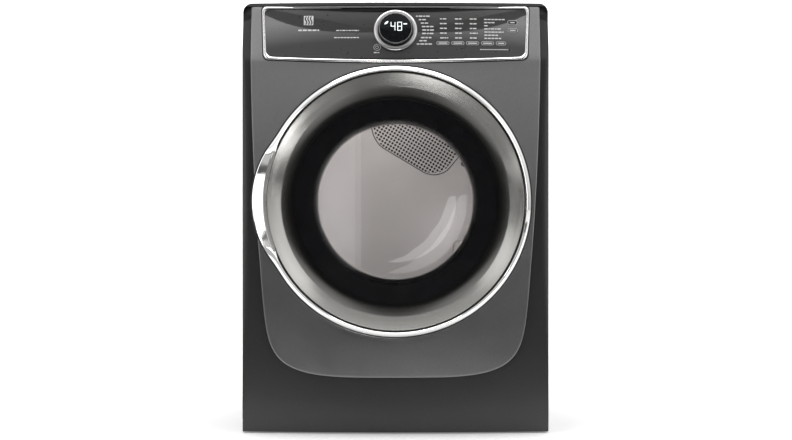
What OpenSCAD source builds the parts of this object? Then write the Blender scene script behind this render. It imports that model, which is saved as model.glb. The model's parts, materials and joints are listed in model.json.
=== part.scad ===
// Front-loading clothes dryer. Millimetres, +Z up, the front faces -Y,
// the origin is on the floor under the middle of the machine.

/* [Cabinet] */
// Width over the side panels
body_w = 686; // [680:1:700]
// Height of the top panel above the floor
body_h = 965; // [960:1:975]
// Thickness of the cabinet sheet
sheet_t = 1; // [0.8:0.1:1.5]
// Depth of the step between the shield and its darker border
step_d = 6; // [4:1:8]
// Lean of the console from the vertical, in degrees
console_lean = 17; // [14:1:20]

/* [Door] */
// Height of the door's centre above the floor
door_z = 518; // [512:1:522]
// Outer radius of the chrome ring
ring_r = 298; // [294:1:299]
// Radius of the clear part of the window
window_r = 178; // [170:1:182]
// Reach of the handle lobe from the door's centre
lobe_reach = 316; // [312:1:318]

/* [Drum] */
// Outer radius of the drum
drum_r = 322; // [318:1:323]
// Height of the drum's axis above the floor
drum_z = 560; // [556:1:562]
// Height of a drum baffle
baffle_h = 112; // [90:1:120]

/* [Drive] */
// Radius of the motor's belt pulley
pulley_r = 12; // [10:1:14]
// Radius of the idler pulley
idler_r = 22; // [20:1:23]
// Outer radius of the exhaust pipe
exhaust_r = 50.8; // [48:0.1:51]

/* [Hidden] */

$fn = 96;
fine = 160;
far = 1000;
half_w = body_w / 2;
gap = 0.3;

// Colours
titanium = "#6f6c6a";
titanium_dark = "#3b3938";
bright_chrome = "#e8eaec";
brushed = "#b3b1ac";
gloss_black = "#141417";
fascia_grey = "#4d4d4c";
drum_grey = "#a9a6a1";
steel = "#b9bcbf";
plastic_pale = "#d9d9d6";
plastic_black = "#26272a";

// The front is a barrel face: a circle in plan, a parabola in height, and it
// leans back above the fold under the console.
barrel_r = 3100;
crown_y = -352;
crown_z = 520;
crown_r = 6000;
fold_z = 835;
barrel_axis_y = crown_y + barrel_r;
front_top_z = body_h - 7;
floor_gap = 3;
shoulder_r = 20;
edge_r = 18;
return_y = -292;
rear_y = 370;
function crown(z) = pow(z - crown_z, 2) / (2 * crown_r);
function lean(z) =
    z < fold_z ? crown(z) : crown(fold_z) + (z - fold_z) * tan(console_lean);
function face_y(x, z) = crown_y + lean(z) + x * x / (2 * barrel_r);
barrel_stations = [0, 60, 125, 200, 300, 400, 520, 640, 740, fold_z, body_h];

// Shield outline
shield_top_w = 322.5;
shield_taper = 44;
shield_bottom_z = 127;
shield_corner_z = 425;

// Door, along Y from the rim back to the recess floor
recess_r = ring_r + 4;
recess_floor_y = -331;
throat_r = 212;
rim_y = -388;
lobe_y = -396;
lobe_back_y = -376;
ring_back_y = -345;
glass_y = -352;
glass_r = 227.5;
frame_y = -344;
frame_back_y = -341;
collar_r = 200;
bowl_r = 176;
bowl_nose_y = -291;
hinge_x = 285;
hinge_y = -370;
hinge_half = 40;
hinge_r = 6;
pin_r = 3;
strike_x = -265;

// Drum system, along Y
bulkhead_y = -262;
bulkhead_t = 1.5;
drum_front_y = -255;
drum_rear_y = 296;
drum_t = 1.2;
rear_wall_y = 303;
flange_r = 308;
roller_r = 34.7;
roller_angle = 35;
roller_y = 262;
roller_w = 24;
roller_x = (drum_r + roller_r + gap) * sin(roller_angle);
roller_z = drum_z - (drum_r + roller_r + gap) * cos(roller_angle);
stud_r = 6;
running_fit = 0.05;

// Drive
motor_x = 100;
motor_z = 140;
motor_r = 55;
shaft_r = 6.35;
belt_y = 34;
belt_w = 8;
belt_t = 2;
idler_x = 30;
idler_z = 186;
arm_x = 150;
arm_z = 190;
spring_x = 190;
exhaust_z = 98;
exhaust_end_y = 396;

// Console
console_z = 898;
hub_r = 39.5;
knob_in_r = 40.4;
knob_out_r = 48.8;
key_gap = 0.3;
key_row_z = 870;
trim_top_z = front_top_z - 1;
trim_w = 6.5;
// Each key: name, across, up, width, height
keys = [
    ["power", -41, 860, 16, 16], ["temperature", 106, key_row_z, 29, 9],
    ["dryness", 139.4, key_row_z, 29, 9], ["time", 172.4, key_row_z, 29, 9],
    ["options", 206, key_row_z, 29, 9], ["select", 236.4, key_row_z, 23, 9],
    ["start", 264.4, 918.5, 23, 12], ["pause", 264.4, 900.5, 23, 9]];

foot_x = 300;
foot_front_y = -245;
foot_rear_y = 325;

// ---------- helpers ----------

// A prism along Y from an outline drawn in X and Z
module y_prism(y0, y1) {
    translate([0, y1, 0]) rotate([90, 0, 0]) linear_extrude(y1 - y0) children();
}

module box(x0, x1, y0, y1, z0, z1) {
    translate([x0, y0, z0]) cube([x1 - x0, y1 - y0, z1 - z0]);
}

// A solid of revolution whose profile is drawn as [radius, y]
module y_turn(x, z) {
    translate([x, 0, z]) rotate([-90, 0, 0]) rotate_extrude($fn = fine) children();
}

module y_cyl(x, z, y0, y1, r) {
    translate([x, y1, z]) rotate([90, 0, 0]) cylinder(r = r, h = y1 - y0);
}

module y_tube(x, z, y0, y1, r_out, r_in) {
    difference() {
        y_cyl(x, z, y0, y1, r_out);
        y_cyl(x, z, y0 - 1, y1 + 1, r_in);
    }
}

// Between two surfaces that follow the front face
module face_shell(out, thick, z0 = 0, z1 = body_h) {
    stations = concat([z0], [for (z = barrel_stations) if (z > z0 && z < z1) z], [z1]);
    front = [for (z = stations) [barrel_r - lean(z) + out, z]];
    last = len(stations) - 1;
    back = [for (i = [last : -1 : 0])
        [barrel_r - lean(stations[i]) + out - thick, stations[i]]];
    sweep = 13.4;
    translate([0, barrel_axis_y, 0]) rotate([0, 0, -90 - sweep / 2])
        rotate_extrude(angle = sweep, $fn = 720) polygon(concat(front, back));
}

// Shield outline in X and Z, pulled in by an inset
function shield_w(z) =
    shield_top_w - shield_taper * pow((body_h - z) / (body_h - shield_bottom_z), 2);
function shield_side(inset) = concat(
    [for (z = [body_h + 20, 900, 815, 700, 600, 500]) [shield_w(z) - inset, z]],
    [for (t = [0 : 6 : 84])
        let (z = shield_corner_z
            - (shield_corner_z - shield_bottom_z - inset) * pow(sin(t), 0.25))
        [(shield_w(z) - inset) * sqrt(cos(t)), z]]);
function mirrored(side) = [for (i = [len(side) - 1 : -1 : 0]) [-side[i][0], side[i][1]]];
module shield_outline(inset = 0) {
    side = shield_side(inset);
    polygon(concat(side, [[0, shield_bottom_z + inset]], mirrored(side)));
}

// Outline of the cabinet from the front, with rounded top shoulders
module cabinet_outline(inset = 0) {
    arc = [for (a = [0 : 9 : 90])
        [half_w - shoulder_r + (shoulder_r - inset) * cos(a),
         body_h - shoulder_r + (shoulder_r - inset) * sin(a)]];
    polygon(concat([[half_w - inset, -far]], arc, mirrored(arc), [[inset - half_w, -far]]));
}

// Cabinet outline from above, with rounded front edges
module plan_outline(inset = 0, back = return_y) {
    arc_y = -311;
    arc = [for (a = [0 : 9 : 90])
        [half_w - edge_r + (edge_r - inset) * cos(a), arc_y - (edge_r - inset) * sin(a)]];
    polygon(concat([[half_w - inset, back]], arc, [[half_w - edge_r, -far]],
        [[edge_r - half_w, -far]], mirrored(arc), [[inset - half_w, back]]));
}

// Solid body behind the front face
module front_body(out, inset, back) {
    intersection() {
        face_shell(out, 140);
        translate([0, 0, floor_gap]) linear_extrude(body_h) plan_outline(inset, back);
        y_prism(-far, far) cabinet_outline(inset);
    }
}

// Trim outline in X and Z: straight top, bowed bottom and rounded corners
module trim_outline(inset = 0) {
    top_w = 300 - inset;
    low_w = 294.8 - inset;
    top_z = trim_top_z - inset;
    low_z = 834 + inset;
    bow = 7.5;
    top_r = 9;
    low_r = 15;
    bottom = [for (i = [0 : 8])
        let (x = (low_w - low_r) * (1 - i / 4))
        [x, low_z - bow * (1 - pow(x / (low_w - low_r), 2))]];
    right_low = [for (a = [0 : -18 : -90])
        [low_w - low_r + low_r * cos(a), low_z + low_r + low_r * sin(a)]];
    right_top = [for (a = [90 : -18 : 0])
        [top_w - top_r + top_r * cos(a), top_z - top_r + top_r * sin(a)]];
    right = concat(right_top, right_low);
    polygon(concat(right, [for (i = [1 : 7]) bottom[i]], mirrored(right)));
}

// Local frame on the console: x across, y up the slope, z out of the face
module on_console(x = 0, z = console_z) {
    turn = asin(x / barrel_r);
    translate([0, barrel_axis_y, z]) rotate([0, 0, turn])
        translate([0, lean(z) - barrel_r, 0]) rotate([90 - console_lean, 0, 0]) children();
}

module pill(w, h) {
    straight = (w - h) / 2;
    translate([-straight, 0]) circle(d = h);
    translate([straight, 0]) circle(d = h);
    if (straight > 0) square([2 * straight, h], center = true);
}

// Round bar through a list of points
module bar_run(points, r) {
    for (i = [0 : len(points) - 2]) {
        d = points[i + 1] - points[i];
        length = norm(d);
        translate(points[i]) rotate([0, acos(d[2] / length), atan2(d[1], d[0])])
            cylinder(r = r, h = length, $fn = 32);
    }
    for (i = [1 : len(points) - 2]) translate(points[i]) sphere(r = r + 0.4, $fn = 32);
}

// ---------- cabinet ----------

module cabinet_left_side() {
    color(titanium_dark) mirror([1, 0, 0]) side_sheet();
}
module cabinet_right_side() {
    color(titanium_dark) side_sheet();
}
module side_sheet() {
    front = return_y + gap;
    back = rear_y - 1.3;
    top = body_h - 25;
    box(half_w - sheet_t, half_w, front, back, floor_gap, top);
    box(half_w - 20, half_w, front, front + sheet_t, floor_gap, top);
    box(half_w - 18, half_w, back - sheet_t, back, floor_gap, top);
}

valve_x = 179;
valve_z = 125;
cord_x = -220;
cord_z = 800;
cord_r = 14;
screw_x = 332;
screw_heights = [60 : 140 : 900];
module rear_panel() {
    back = rear_y;
    front = rear_y - 1;
    color("#8f9296") difference() {
        union() {
            intersection() {
                box(-half_w + 1.5, half_w - 1.5, front, back, floor_gap, body_h - 10);
                y_prism(front, back) cabinet_outline(2);
            }
            y_cyl(cord_x, cord_z, back - 6, back, cord_r + 2.5);
        }
        y_cyl(0, exhaust_z, front - 1, back + 1, exhaust_r + 1.7);
        y_cyl(valve_x, valve_z, front - 1, back + 1, 14.5);
        y_cyl(cord_x, cord_z, front - 10, back + 1, cord_r);
        for (x = [-230, 0, 230], z = [300 : 14 : 468])
            box(x - 35, x + 35, front - 1, back + 1, z, z + 5);
        for (s = [-1, 1], z = screw_heights) y_cyl(s * screw_x, z, front - 1, back + 1, 1.9);
    }
}

module top_panel() {
    front = return_y + gap;
    color(titanium_dark) difference() {
        intersection() {
            union() {
                y_prism(-far, rear_y) difference() {
                    cabinet_outline();
                    cabinet_outline(1.2);
                }
                face_shell(1.5, 1.2, front_top_z + gap, body_h);
            }
            union() {
                face_shell(1.5, 60, body_h - 24.7, body_h);
                box(-half_w, half_w, -280, rear_y, body_h - 24.7, body_h);
            }
            y_prism(-far, rear_y) cabinet_outline();
        }
        box(-far, far, -far, front, 0, front_top_z + gap);
    }
}

module base_pan() {
    front = -287;
    back = 366;
    w = half_w - 4;
    top = 28;
    wall = 1.2;
    color("#77797c") difference() {
        union() {
            difference() {
                box(-w, w, front, back, floor_gap, top);
                box(wall - w, w - wall, front + wall, back - wall, floor_gap + wall, top + 1);
            }
            for (x = [-foot_x, foot_x], y = [foot_front_y, foot_rear_y])
                translate([x, y, floor_gap + wall]) cylinder(r = 10, h = 14);
            for (y = [-130, -34]) box(58, 142, y, y + 4, floor_gap + wall, 108);
            box(spring_x - 8, spring_x + 8, 16, 17.2, floor_gap + wall, 56);
            box(spring_x - 8, spring_x + 8, 16, 28, 54.8, 56);
        }
        for (x = [-foot_x, foot_x], y = [foot_front_y, foot_rear_y])
            translate([x, y, 0]) cylinder(r = 5.05, h = 60);
        y_cyl(motor_x, motor_z, -140, -20, motor_r + 0.1);
    }
}

module foot(x, y) {
    color(plastic_black) translate([x, y, 0]) {
        cylinder(r1 = 17, r2 = 19, h = 1.2);
        translate([0, 0, 1.2]) cylinder(r = 19, h = 1.4);
        cylinder(r = 5, h = 46);
    }
}
module foot_front_left() { foot(-foot_x, foot_front_y); }
module foot_front_right() { foot(foot_x, foot_front_y); }
module foot_rear_left() { foot(-foot_x, foot_rear_y); }
module foot_rear_right() { foot(foot_x, foot_rear_y); }

// Solid whose skin is the pressed front: the border with the shield standing on it
module front_solid(inset) {
    union() {
        front_body(-step_d - inset, inset, inset > 0 ? 0 : return_y);
        intersection() {
            face_shell(-inset, 30, floor_gap, body_h);
            y_prism(-far, far) shield_outline(inset);
        }
    }
}

module front_panel() {
    color(titanium) difference() {
        front_solid(0);
        difference() {
            front_solid(sheet_t);
            y_cyl(0, door_z, -400, recess_floor_y + sheet_t, recess_r + sheet_t);
        }
        y_cyl(0, door_z, -400, recess_floor_y, recess_r);
        y_cyl(0, door_z, -400, 0, throat_r + 4);
        y_prism(-far, 0) trim_outline(3);
        box(strike_x - 11, strike_x + 11, -340, -320, door_z - 12, door_z + 12);
        box(-far, far, -far, far, front_top_z, far);
    }
}

// ---------- drum housing ----------

lint_half = 112;
lint_y0 = -287;
lint_y1 = -269;
module lint_duct_outline(inset = 0) {
    polygon([[-122 + inset, 350], [-122 + inset, 68 + inset], [168 - inset, 68 + inset],
        [168 - inset, 215], [122 - inset, 258], [122 - inset, 350]]);
}
module front_bulkhead() {
    back = bulkhead_y + bulkhead_t;
    duct_y = -299;
    color("#9a9c9f") difference() {
        union() {
            box(-half_w + 9, half_w - 9, bulkhead_y, back, 60, 905);
            y_cyl(0, door_z, recess_floor_y + 1.5, bulkhead_y, throat_r + 3);
            difference() {
                y_prism(duct_y, bulkhead_y) lint_duct_outline();
                y_prism(duct_y + 2, bulkhead_y + 1) lint_duct_outline(2.5);
            }
            y_tube(0, drum_z, bulkhead_y, -236, flange_r, flange_r - 2);
        }
        y_cyl(0, door_z, -400, back + 1, throat_r);
        box(-lint_half, lint_half, lint_y0, lint_y1, 290, 400);
        y_cyl(motor_x, motor_z, -264, back + 1, 60);
        for (x = [-96 : 16 : 96])
            box(x - 4, x + 4, bulkhead_y - 1, back + 1, 290, 300);
    }
}

grille_pitch = 8.6;
grille_hole_r = 3.1;
grille_slope = 31;
// Grille outline in X and Z, with its straight lower edge falling to the right
module grille_outline() {
    polygon([[-66, 780], [-66, 728], [-60, 698], [-43, 670], [78, 597.5], [92, 594],
        [104, 593], [122, 597], [137, 605], [171, 646], [171, 780]]);
}
module grille_holes() {
    intersection() {
        offset_outline();
        translate([58.5, 687.7]) rotate(-grille_slope)
            for (i = [-18 : 18], j = [-8 : 11])
                translate([i * grille_pitch, j * grille_pitch])
                    circle(r = grille_hole_r, $fn = 16);
    }
}
module offset_outline() {
    translate([52, 690]) scale(0.94) translate([-52, -690]) grille_outline();
}
module rear_bulkhead() {
    back = rear_wall_y + bulkhead_t;
    color(drum_grey) union() {
        difference() {
            union() {
                box(-half_w + 9, half_w - 9, rear_wall_y, back, 200, 905);
                y_tube(0, drum_z, 275, rear_wall_y, flange_r, flange_r - 2);
            }
            y_prism(rear_wall_y - 1, back + 1) grille_holes();
            y_cyl(valve_x, nozzle_z, rear_wall_y - 1, back + 1, 6);
        }
        for (s = [-1, 1]) {
            y_cyl(s * roller_x, roller_z, roller_y - 4, rear_wall_y, stud_r);
            y_cyl(s * roller_x, roller_z, roller_y - 6, roller_y - 1, stud_r + 4);
            y_cyl(s * roller_x, roller_z, roller_y + roller_w + 1, rear_wall_y, stud_r + 5);
        }
    }
}

module drum_felt_seals() {
    color("#8d8578") {
        y_tube(0, drum_z, -252, -239, drum_r - drum_t - gap, flange_r);
        y_tube(0, drum_z, 278, 291, drum_r - drum_t - gap, flange_r);
    }
}

// ---------- drum ----------

module drum_profile() {
    rim = 3;
    bead = 3;
    bead_w = 12;
    beads = [for (y = [-150, 150], p = [[-bead_w, 0], [-bead_w / 2, bead],
        [bead_w / 2, bead], [bead_w, 0]]) [drum_r + p[1], y + p[0]]];
    outer = concat([[drum_r - drum_t, drum_front_y], [drum_r + rim, drum_front_y],
        [drum_r + rim, drum_front_y + 1.2], [drum_r, drum_front_y + 4]], beads,
        [[drum_r, drum_rear_y - 4], [drum_r + rim, drum_rear_y - 1.2],
        [drum_r + rim, drum_rear_y], [drum_r - drum_t, drum_rear_y]]);
    inner = [for (i = [7 : -1 : 0]) beads[i] - [drum_t, 0]];
    polygon(concat(outer, inner));
}
module drum_shell() {
    color(drum_grey) y_turn(0, drum_z) drum_profile();
}

// End profile of a hollow baffle: a wave that leans the way the drum turns
baffle_half = 21;
baffle_wall = 3;
baffle_base_r = drum_r - drum_t - 0.6;
function baffle_point(u, rise) =
    let (a = baffle_half * (u + 0.28 * (1 - u * u)), r = baffle_base_r - rise)
    [r * sin(a), -r * cos(a)];
module baffle_outline(span, wall) {
    crest = [for (i = [-12 : 12])
        let (u = span * i / 12) baffle_point(u, baffle_h * pow(cos(90 * u), 2) - wall)];
    floor_arc = [for (i = [8 : -1 : -8]) baffle_point(span * i / 8, wall)];
    ends = span < 1 ? 0 : 1;
    polygon(concat(crest, [for (i = [ends : 16 - ends]) floor_arc[i]]));
}
module drum_baffles() {
    color(plastic_pale)
        for (a = [42, 162, 282]) translate([0, 0, drum_z]) rotate([0, -a, 0])
            difference() {
                y_prism(-222, 262) baffle_outline(1, 0);
                y_prism(-222 + baffle_wall, 262 - baffle_wall)
                    baffle_outline(0.82, baffle_wall);
            }
}

module roller(x) {
    color(plastic_black) difference() {
        union() {
            y_cyl(x, roller_z, roller_y, roller_y + roller_w, roller_r - 6);
            y_tube(x, roller_z, roller_y + 3, roller_y + roller_w - 3, roller_r, roller_r - 7);
        }
        y_cyl(x, roller_z, roller_y - 1, roller_y + roller_w + 1, stud_r + running_fit);
        for (a = [0 : 60 : 300])
            y_cyl(x + 18 * cos(a), roller_z + 18 * sin(a), roller_y - 1,
                roller_y + roller_w + 1, 5);
    }
}
module drum_roller_left() { roller(-roller_x); }
module drum_roller_right() { roller(roller_x); }

// ---------- belt drive ----------

// Belt loop: circles joined by tangents. A negative radius is wrapped outside.
function tangent_angle(c1, r1, c2, r2) =
    let (d = c2 - c1) atan2(d[1], d[0]) - acos((r1 - r2) / norm(d));
function arc_points(c, r, from, to, steps) =
    [for (i = [0 : steps])
        let (a = from + (to - from) * i / steps) c + r * [cos(a), sin(a)]];
function turn_up(from, to) = to < from ? turn_up(from, to + 360) : to;
function turn_down(from, to) = to > from ? turn_down(from, to - 360) : to;
function belt_loop(off) =
    let (drum = [0, drum_z], motor = [motor_x, motor_z], idler = [idler_x, idler_z],
        rd = drum_r + gap + off, rm = pulley_r + gap + off,
        ri = -(idler_r + gap + belt_t - off),
        a1 = tangent_angle(drum, rd, idler, ri),
        a2 = tangent_angle(idler, ri, motor, rm),
        a3 = tangent_angle(motor, rm, drum, rd))
    concat(arc_points(drum, rd, a3, turn_up(a3, a1), 72),
        arc_points(idler, ri, a1, turn_down(a1, a2), 12),
        arc_points(motor, rm, a2, turn_up(a2, a3), 16));
module drum_belt() {
    color("#1b1b1c") y_prism(belt_y - belt_w / 2, belt_y + belt_w / 2) difference() {
        polygon(belt_loop(belt_t));
        polygon(belt_loop(0));
    }
}

module motor_casing() {
    color("#5c6064") difference() {
        union() {
            y_cyl(motor_x, motor_z, -150, -10, motor_r);
            y_cyl(motor_x, motor_z, -162, 2, motor_r - 14);
            y_cyl(arm_x, arm_z, 2, 26, 5);
            box(motor_x + 20, arm_x + 10, 2, 5, motor_z + 10, arm_z + 10);
        }
        y_cyl(motor_x, motor_z, -163, 6, 8);
        y_cyl(motor_x, motor_z, -146, -14, motor_r - 4);
    }
}
module motor_shaft() {
    color(steel) {
        y_cyl(motor_x, motor_z, -252, 46, shaft_r);
        y_cyl(motor_x, motor_z, -140, -20, 40);
        y_cyl(motor_x, motor_z, belt_y - 8, belt_y - 5, pulley_r + 3);
        y_cyl(motor_x, motor_z, belt_y - 6, belt_y + 6, pulley_r);
        y_cyl(motor_x, motor_z, belt_y + 5, belt_y + 8, pulley_r + 3);
    }
}

module blower_wheel() {
    color(plastic_black) difference() {
        union() {
            y_cyl(motor_x, motor_z, -196, -193, 75);
            y_tube(motor_x, motor_z, -248, -245, 75, 56);
            y_cyl(motor_x, motor_z, -230, -194, 14);
            for (i = [0 : 23]) translate([motor_x, 0, motor_z]) rotate([0, i * 15, 0])
                box(62, 74, -247, -194, -1, 1);
        }
        y_cyl(motor_x, motor_z, -260, -190, shaft_r);
    }
}

scroll_r = 95;
module blower_housing() {
    front = bulkhead_y + bulkhead_t;
    back = -180;
    box_w = exhaust_r + 3.2;
    color("#c9c9c4") difference() {
        union() {
            y_cyl(motor_x, motor_z, front, back, scroll_r);
            box(-box_w, motor_x, front, back, motor_z - scroll_r, exhaust_z + box_w);
            y_tube(0, exhaust_z, back - 1, back + 22, exhaust_r + 2.5, exhaust_r);
        }
        y_cyl(motor_x, motor_z, front + 2.5, back - 2.5, scroll_r - 2.5);
        box(2.5 - box_w, motor_x, front + 2.5, back - 2.5, motor_z - scroll_r + 2.5,
            exhaust_z + box_w - 2.5);
        y_cyl(motor_x, motor_z, front - 1, back - 10, 58);
        y_cyl(motor_x, motor_z, back - 10, back + 1, 15);
        y_cyl(0, exhaust_z, back - 10, back + 30, exhaust_r);
    }
}

module exhaust_duct() {
    color("#c3c6c9") union() {
        y_tube(0, exhaust_z, -180, exhaust_end_y, exhaust_r, exhaust_r - 1);
        y_tube(0, exhaust_z, 366.5, rear_y, exhaust_r + 1.5, exhaust_r - 1);
    }
}

module idler_arm() {
    color(steel) difference() {
        union() {
            y_prism(12, 16) {
                polygon([[idler_x, idler_z + 9], [arm_x, arm_z + 11], [spring_x + 2, 199],
                    [spring_x + 6, 187], [arm_x, arm_z - 11], [idler_x, idler_z - 9]]);
                translate([idler_x, idler_z]) circle(r = 9);
            }
            y_cyl(arm_x, arm_z, 8, 22, 10);
            y_cyl(idler_x, idler_z, 15, belt_y + 12, 4);
        }
        y_cyl(arm_x, arm_z, 0, 30, 5 + running_fit);
    }
}
module idler_pulley() {
    color(plastic_black) difference() {
        union() {
            y_cyl(idler_x, idler_z, belt_y - 7, belt_y + 7, idler_r);
            y_cyl(idler_x, idler_z, belt_y - 9, belt_y + 9, 8);
        }
        y_cyl(idler_x, idler_z, belt_y - 12, belt_y + 12, 4 + running_fit);
        y_tube(idler_x, idler_z, belt_y - 8, belt_y - 4, idler_r - 4, 10);
        y_tube(idler_x, idler_z, belt_y + 4, belt_y + 8, idler_r - 4, 10);
    }
}

// Close-wound spring as a swept tube
module coil(length, r, wire, turns) {
    per_turn = 10;
    ring = 6;
    count = turns * per_turn;
    lead = length / count;
    points = [for (i = [0 : count], k = [0 : ring - 1])
        let (a = 360 * i / per_turn, b = 360 * k / ring, rr = r + wire * cos(b))
        [rr * cos(a), rr * sin(a), i * lead + wire * sin(b)]];
    sides = [for (i = [0 : count - 1], k = [0 : ring - 1])
        let (n = (k + 1) % ring, p = i * ring)
        each [[p + k, p + ring + k, p + n], [p + n, p + ring + k, p + ring + n]]];
    polyhedron(points, concat([[for (k = [0 : ring - 1]) k]], sides,
        [[for (k = [ring - 1 : -1 : 0]) count * ring + k]]));
}
module idler_spring() {
    color(steel) translate([spring_x, 23, 58]) coil(126, 6, 1, 11);
}

// ---------- lint filter ----------

module lint_filter() {
    front = -284;
    back = -272;
    half = 106;
    bottom = 108;
    color(plastic_pale) union() {
        difference() {
            box(-half, half, front, back, bottom, 345);
            y_cyl(0, door_z, front - 1, back + 1, throat_r + 0.5);
            box(-half + 10, half - 10, front - 1, back + 1, bottom + 10, 292);
        }
        box(-half + 9, half - 9, front + 5, front + 6, bottom + 9, 293);
        for (z = [170, 230]) box(-half + 9, half - 9, front + 2, back - 2, z, z + 4);
        for (x = [-35, 35]) box(x - 2, x + 2, front + 2, back - 2, bottom + 9, 293);
        box(-34, 34, front, front + 4, 296, 322);
    }
}

// ---------- heat, steam and electrics ----------

module heater_outline(inset = 0) {
    polygon([[-78 + inset, 760 - inset], [-78 + inset, 722], [-52 + inset, 656],
        [0 + inset, 622], [0 + inset, 330], [112 - inset, 330], [112 - inset, 584],
        [142, 592 + inset], [176 - inset, 640], [176 - inset, 760 - inset]]);
}
module heater_housing() {
    front = rear_wall_y + bulkhead_t;
    back = 352;
    color("#a8abad") union() {
        difference() {
            y_prism(front, back) heater_outline();
            y_prism(front - 1, back - 1) heater_outline(1);
            box(1, 111, front, back - 1, 320, 340);
        }
        y_cyl(56, 640, back, back + 6, 12);
        y_cyl(56, 400, back, back + 6, 12);
    }
}
module heater_element() {
    rows = 6;
    pitch = 34;
    y = 328;
    x0 = 32;
    x1 = 82;
    z0 = 375;
    color("#7a5a48") union() {
        for (i = [0 : rows - 1])
            translate([x0, y, z0 + i * pitch]) rotate([0, 90, 0])
                cylinder(r = 4, h = x1 - x0, $fn = 32);
        for (i = [0 : rows - 2])
            translate([i % 2 == 0 ? x1 : x0, y, z0 + (i + 0.5) * pitch])
                rotate([90, 0, 0]) rotate([0, 0, i % 2 == 0 ? -90 : 90])
                    rotate_extrude(angle = 180, $fn = 48) translate([pitch / 2, 0])
                        circle(r = 4, $fn = 24);
    }
}

module terminal_block() {
    color(plastic_black) difference() {
        box(-258, -182, 344, 368.8, 835, 875);
        for (x = [-245, -220, -195]) y_cyl(x, 855, 340, 352, 6);
    }
}

module moisture_sensor_bars() {
    face = bulkhead_y + bulkhead_t;
    color(bright_chrome) for (z = [263, 278])
        y_prism(face, face + 3) translate([0, z + 3]) pill(116, 6);
}

module drum_lamp() {
    face = bulkhead_y + bulkhead_t;
    color("#f3efe0") difference() {
        box(-26, 26, face, face + 12, 750, 782);
        box(-23, 23, face, face + 10, 753, 779);
    }
}

nozzle_z = 624;
hose_y = 345;
module steam_line() {
    color(plastic_black) union() {
        y_cyl(valve_x, nozzle_z, rear_wall_y - 5, rear_wall_y, 8);
        bar_run([[valve_x, rear_wall_y - 1, nozzle_z], [valve_x, hose_y, nozzle_z],
            [valve_x, hose_y, valve_z + 30]], 5);
    }
}
module water_valve() {
    color("#d8d8d4") difference() {
        union() {
            box(valve_x - 19, valve_x + 19, 336, 368.8, valve_z - 24, valve_z + 24);
            y_cyl(valve_x, valve_z, 360, 392, 13.2);
            translate([valve_x, hose_y, valve_z + 20]) cylinder(r = 8, h = 10);
        }
        y_cyl(valve_x, valve_z, 370, 393, 9);
    }
}

module wiring_harness() {
    top = 925;
    right = half_w - 7;
    color("#2a2b2e") union() {
        bar_run([[150, -268.8, top], [150, -150, top], [right, -150, top],
            [right, -150, 120], [motor_x + motor_r - 2, -150 + 40, 120]], 3.6);
        bar_run([[right, -150, top], [right, 324, top], [right, 324, 345],
            [112, 324, 345]], 3.6);
    }
}

module cabinet_screws() {
    color(steel) {
        for (s = [-1, 1], z = screw_heights) {
            y_cyl(s * screw_x, z, rear_y, rear_y + 3.5, 5);
            y_cyl(s * screw_x, z, rear_y - 1, rear_y + 0.1, 1.9);
        }
    }
}

// ---------- console ----------

module console_fascia() {
    color(fascia_grey) difference() {
        union() {
            intersection() {
                face_shell(2, 3, fold_z - 20, front_top_z);
                y_prism(-far, 0) trim_outline(trim_w + 0.2);
            }
            on_console() difference() {
                translate([0, 0, -4]) cylinder(r = hub_r, h = 22);
                translate([0, 0, -5]) cylinder(r = hub_r - 3.5, h = 30);
            }
        }
        on_console() translate([0, 0, -20]) cylinder(r = hub_r - 3.5, h = 60);
        for (k = keys) on_console(k[1], k[2]) translate([0, 0, -12])
            linear_extrude(30) pill(k[3] + 2 * key_gap, k[4] + 2 * key_gap);
    }
}

module console_trim() {
    color(bright_chrome) intersection() {
        face_shell(5, 5, fold_z - 20, front_top_z);
        y_prism(-far, 0) difference() {
            trim_outline();
            trim_outline(trim_w);
        }
    }
}

module console_housing() {
    color(plastic_black) on_console() difference() {
        translate([-282, -44, -44]) cube([564, 92, 24]);
        translate([-279, -41, -41]) cube([558, 86, 30]);
    }
}

board_x = 120;
board_n = -20;
module control_board() {
    color("#2d5d3a") on_console(board_x) {
        translate([-165, -36, board_n]) cube([300, 74, 1.6]);
        for (x = [-100, -60, 20, 80]) translate([x, 8, board_n + 1.6]) cube([22, 16, 4]);
    }
    color("#2d5d3a") on_console() translate([0, 0, -13.5]) cylinder(r = 30, h = 27);
}

module display_lens() {
    color(gloss_black) on_console() {
        translate([0, 0, 14]) cylinder(r = hub_r - 3.6, h = 5);
    }
}

module knob_ring() {
    profile = [[knob_in_r, 3.2], [knob_out_r, 3.2], [knob_out_r, 6.5], [47.6, 9.2],
        [45.2, 10.8], [42.6, 10.8], [knob_in_r, 9]];
    color(bright_chrome) on_console() rotate_extrude($fn = fine) polygon(profile);
}

module key(i) {
    k = keys[i];
    color("#9b9c9c") on_console(k[1], k[2]) {
        translate([0, 0, -3]) linear_extrude(5.7) pill(k[3], k[4]);
        translate([0, 0, -4.6]) linear_extrude(1.6) pill(k[3] + 3, k[4] + 3);
    }
}
module key_power() { key(0); }
module key_temperature() { key(1); }
module key_dryness() { key(2); }
module key_time() { key(3); }
module key_options() { key(4); }
module key_select() { key(5); }
module key_start() { key(6); }
module key_pause() { key(7); }

// ---------- door ----------

// The lobe is a circle set off to the left that meets the ring 28 degrees each
// side of the horizontal
lobe_half = 28;
lobe_dx = (lobe_reach * lobe_reach - ring_r * ring_r)
    / (2 * (lobe_reach - ring_r * cos(lobe_half)));
lobe_r = lobe_reach - lobe_dx;
hinge_notch = hinge_half + 12;

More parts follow.
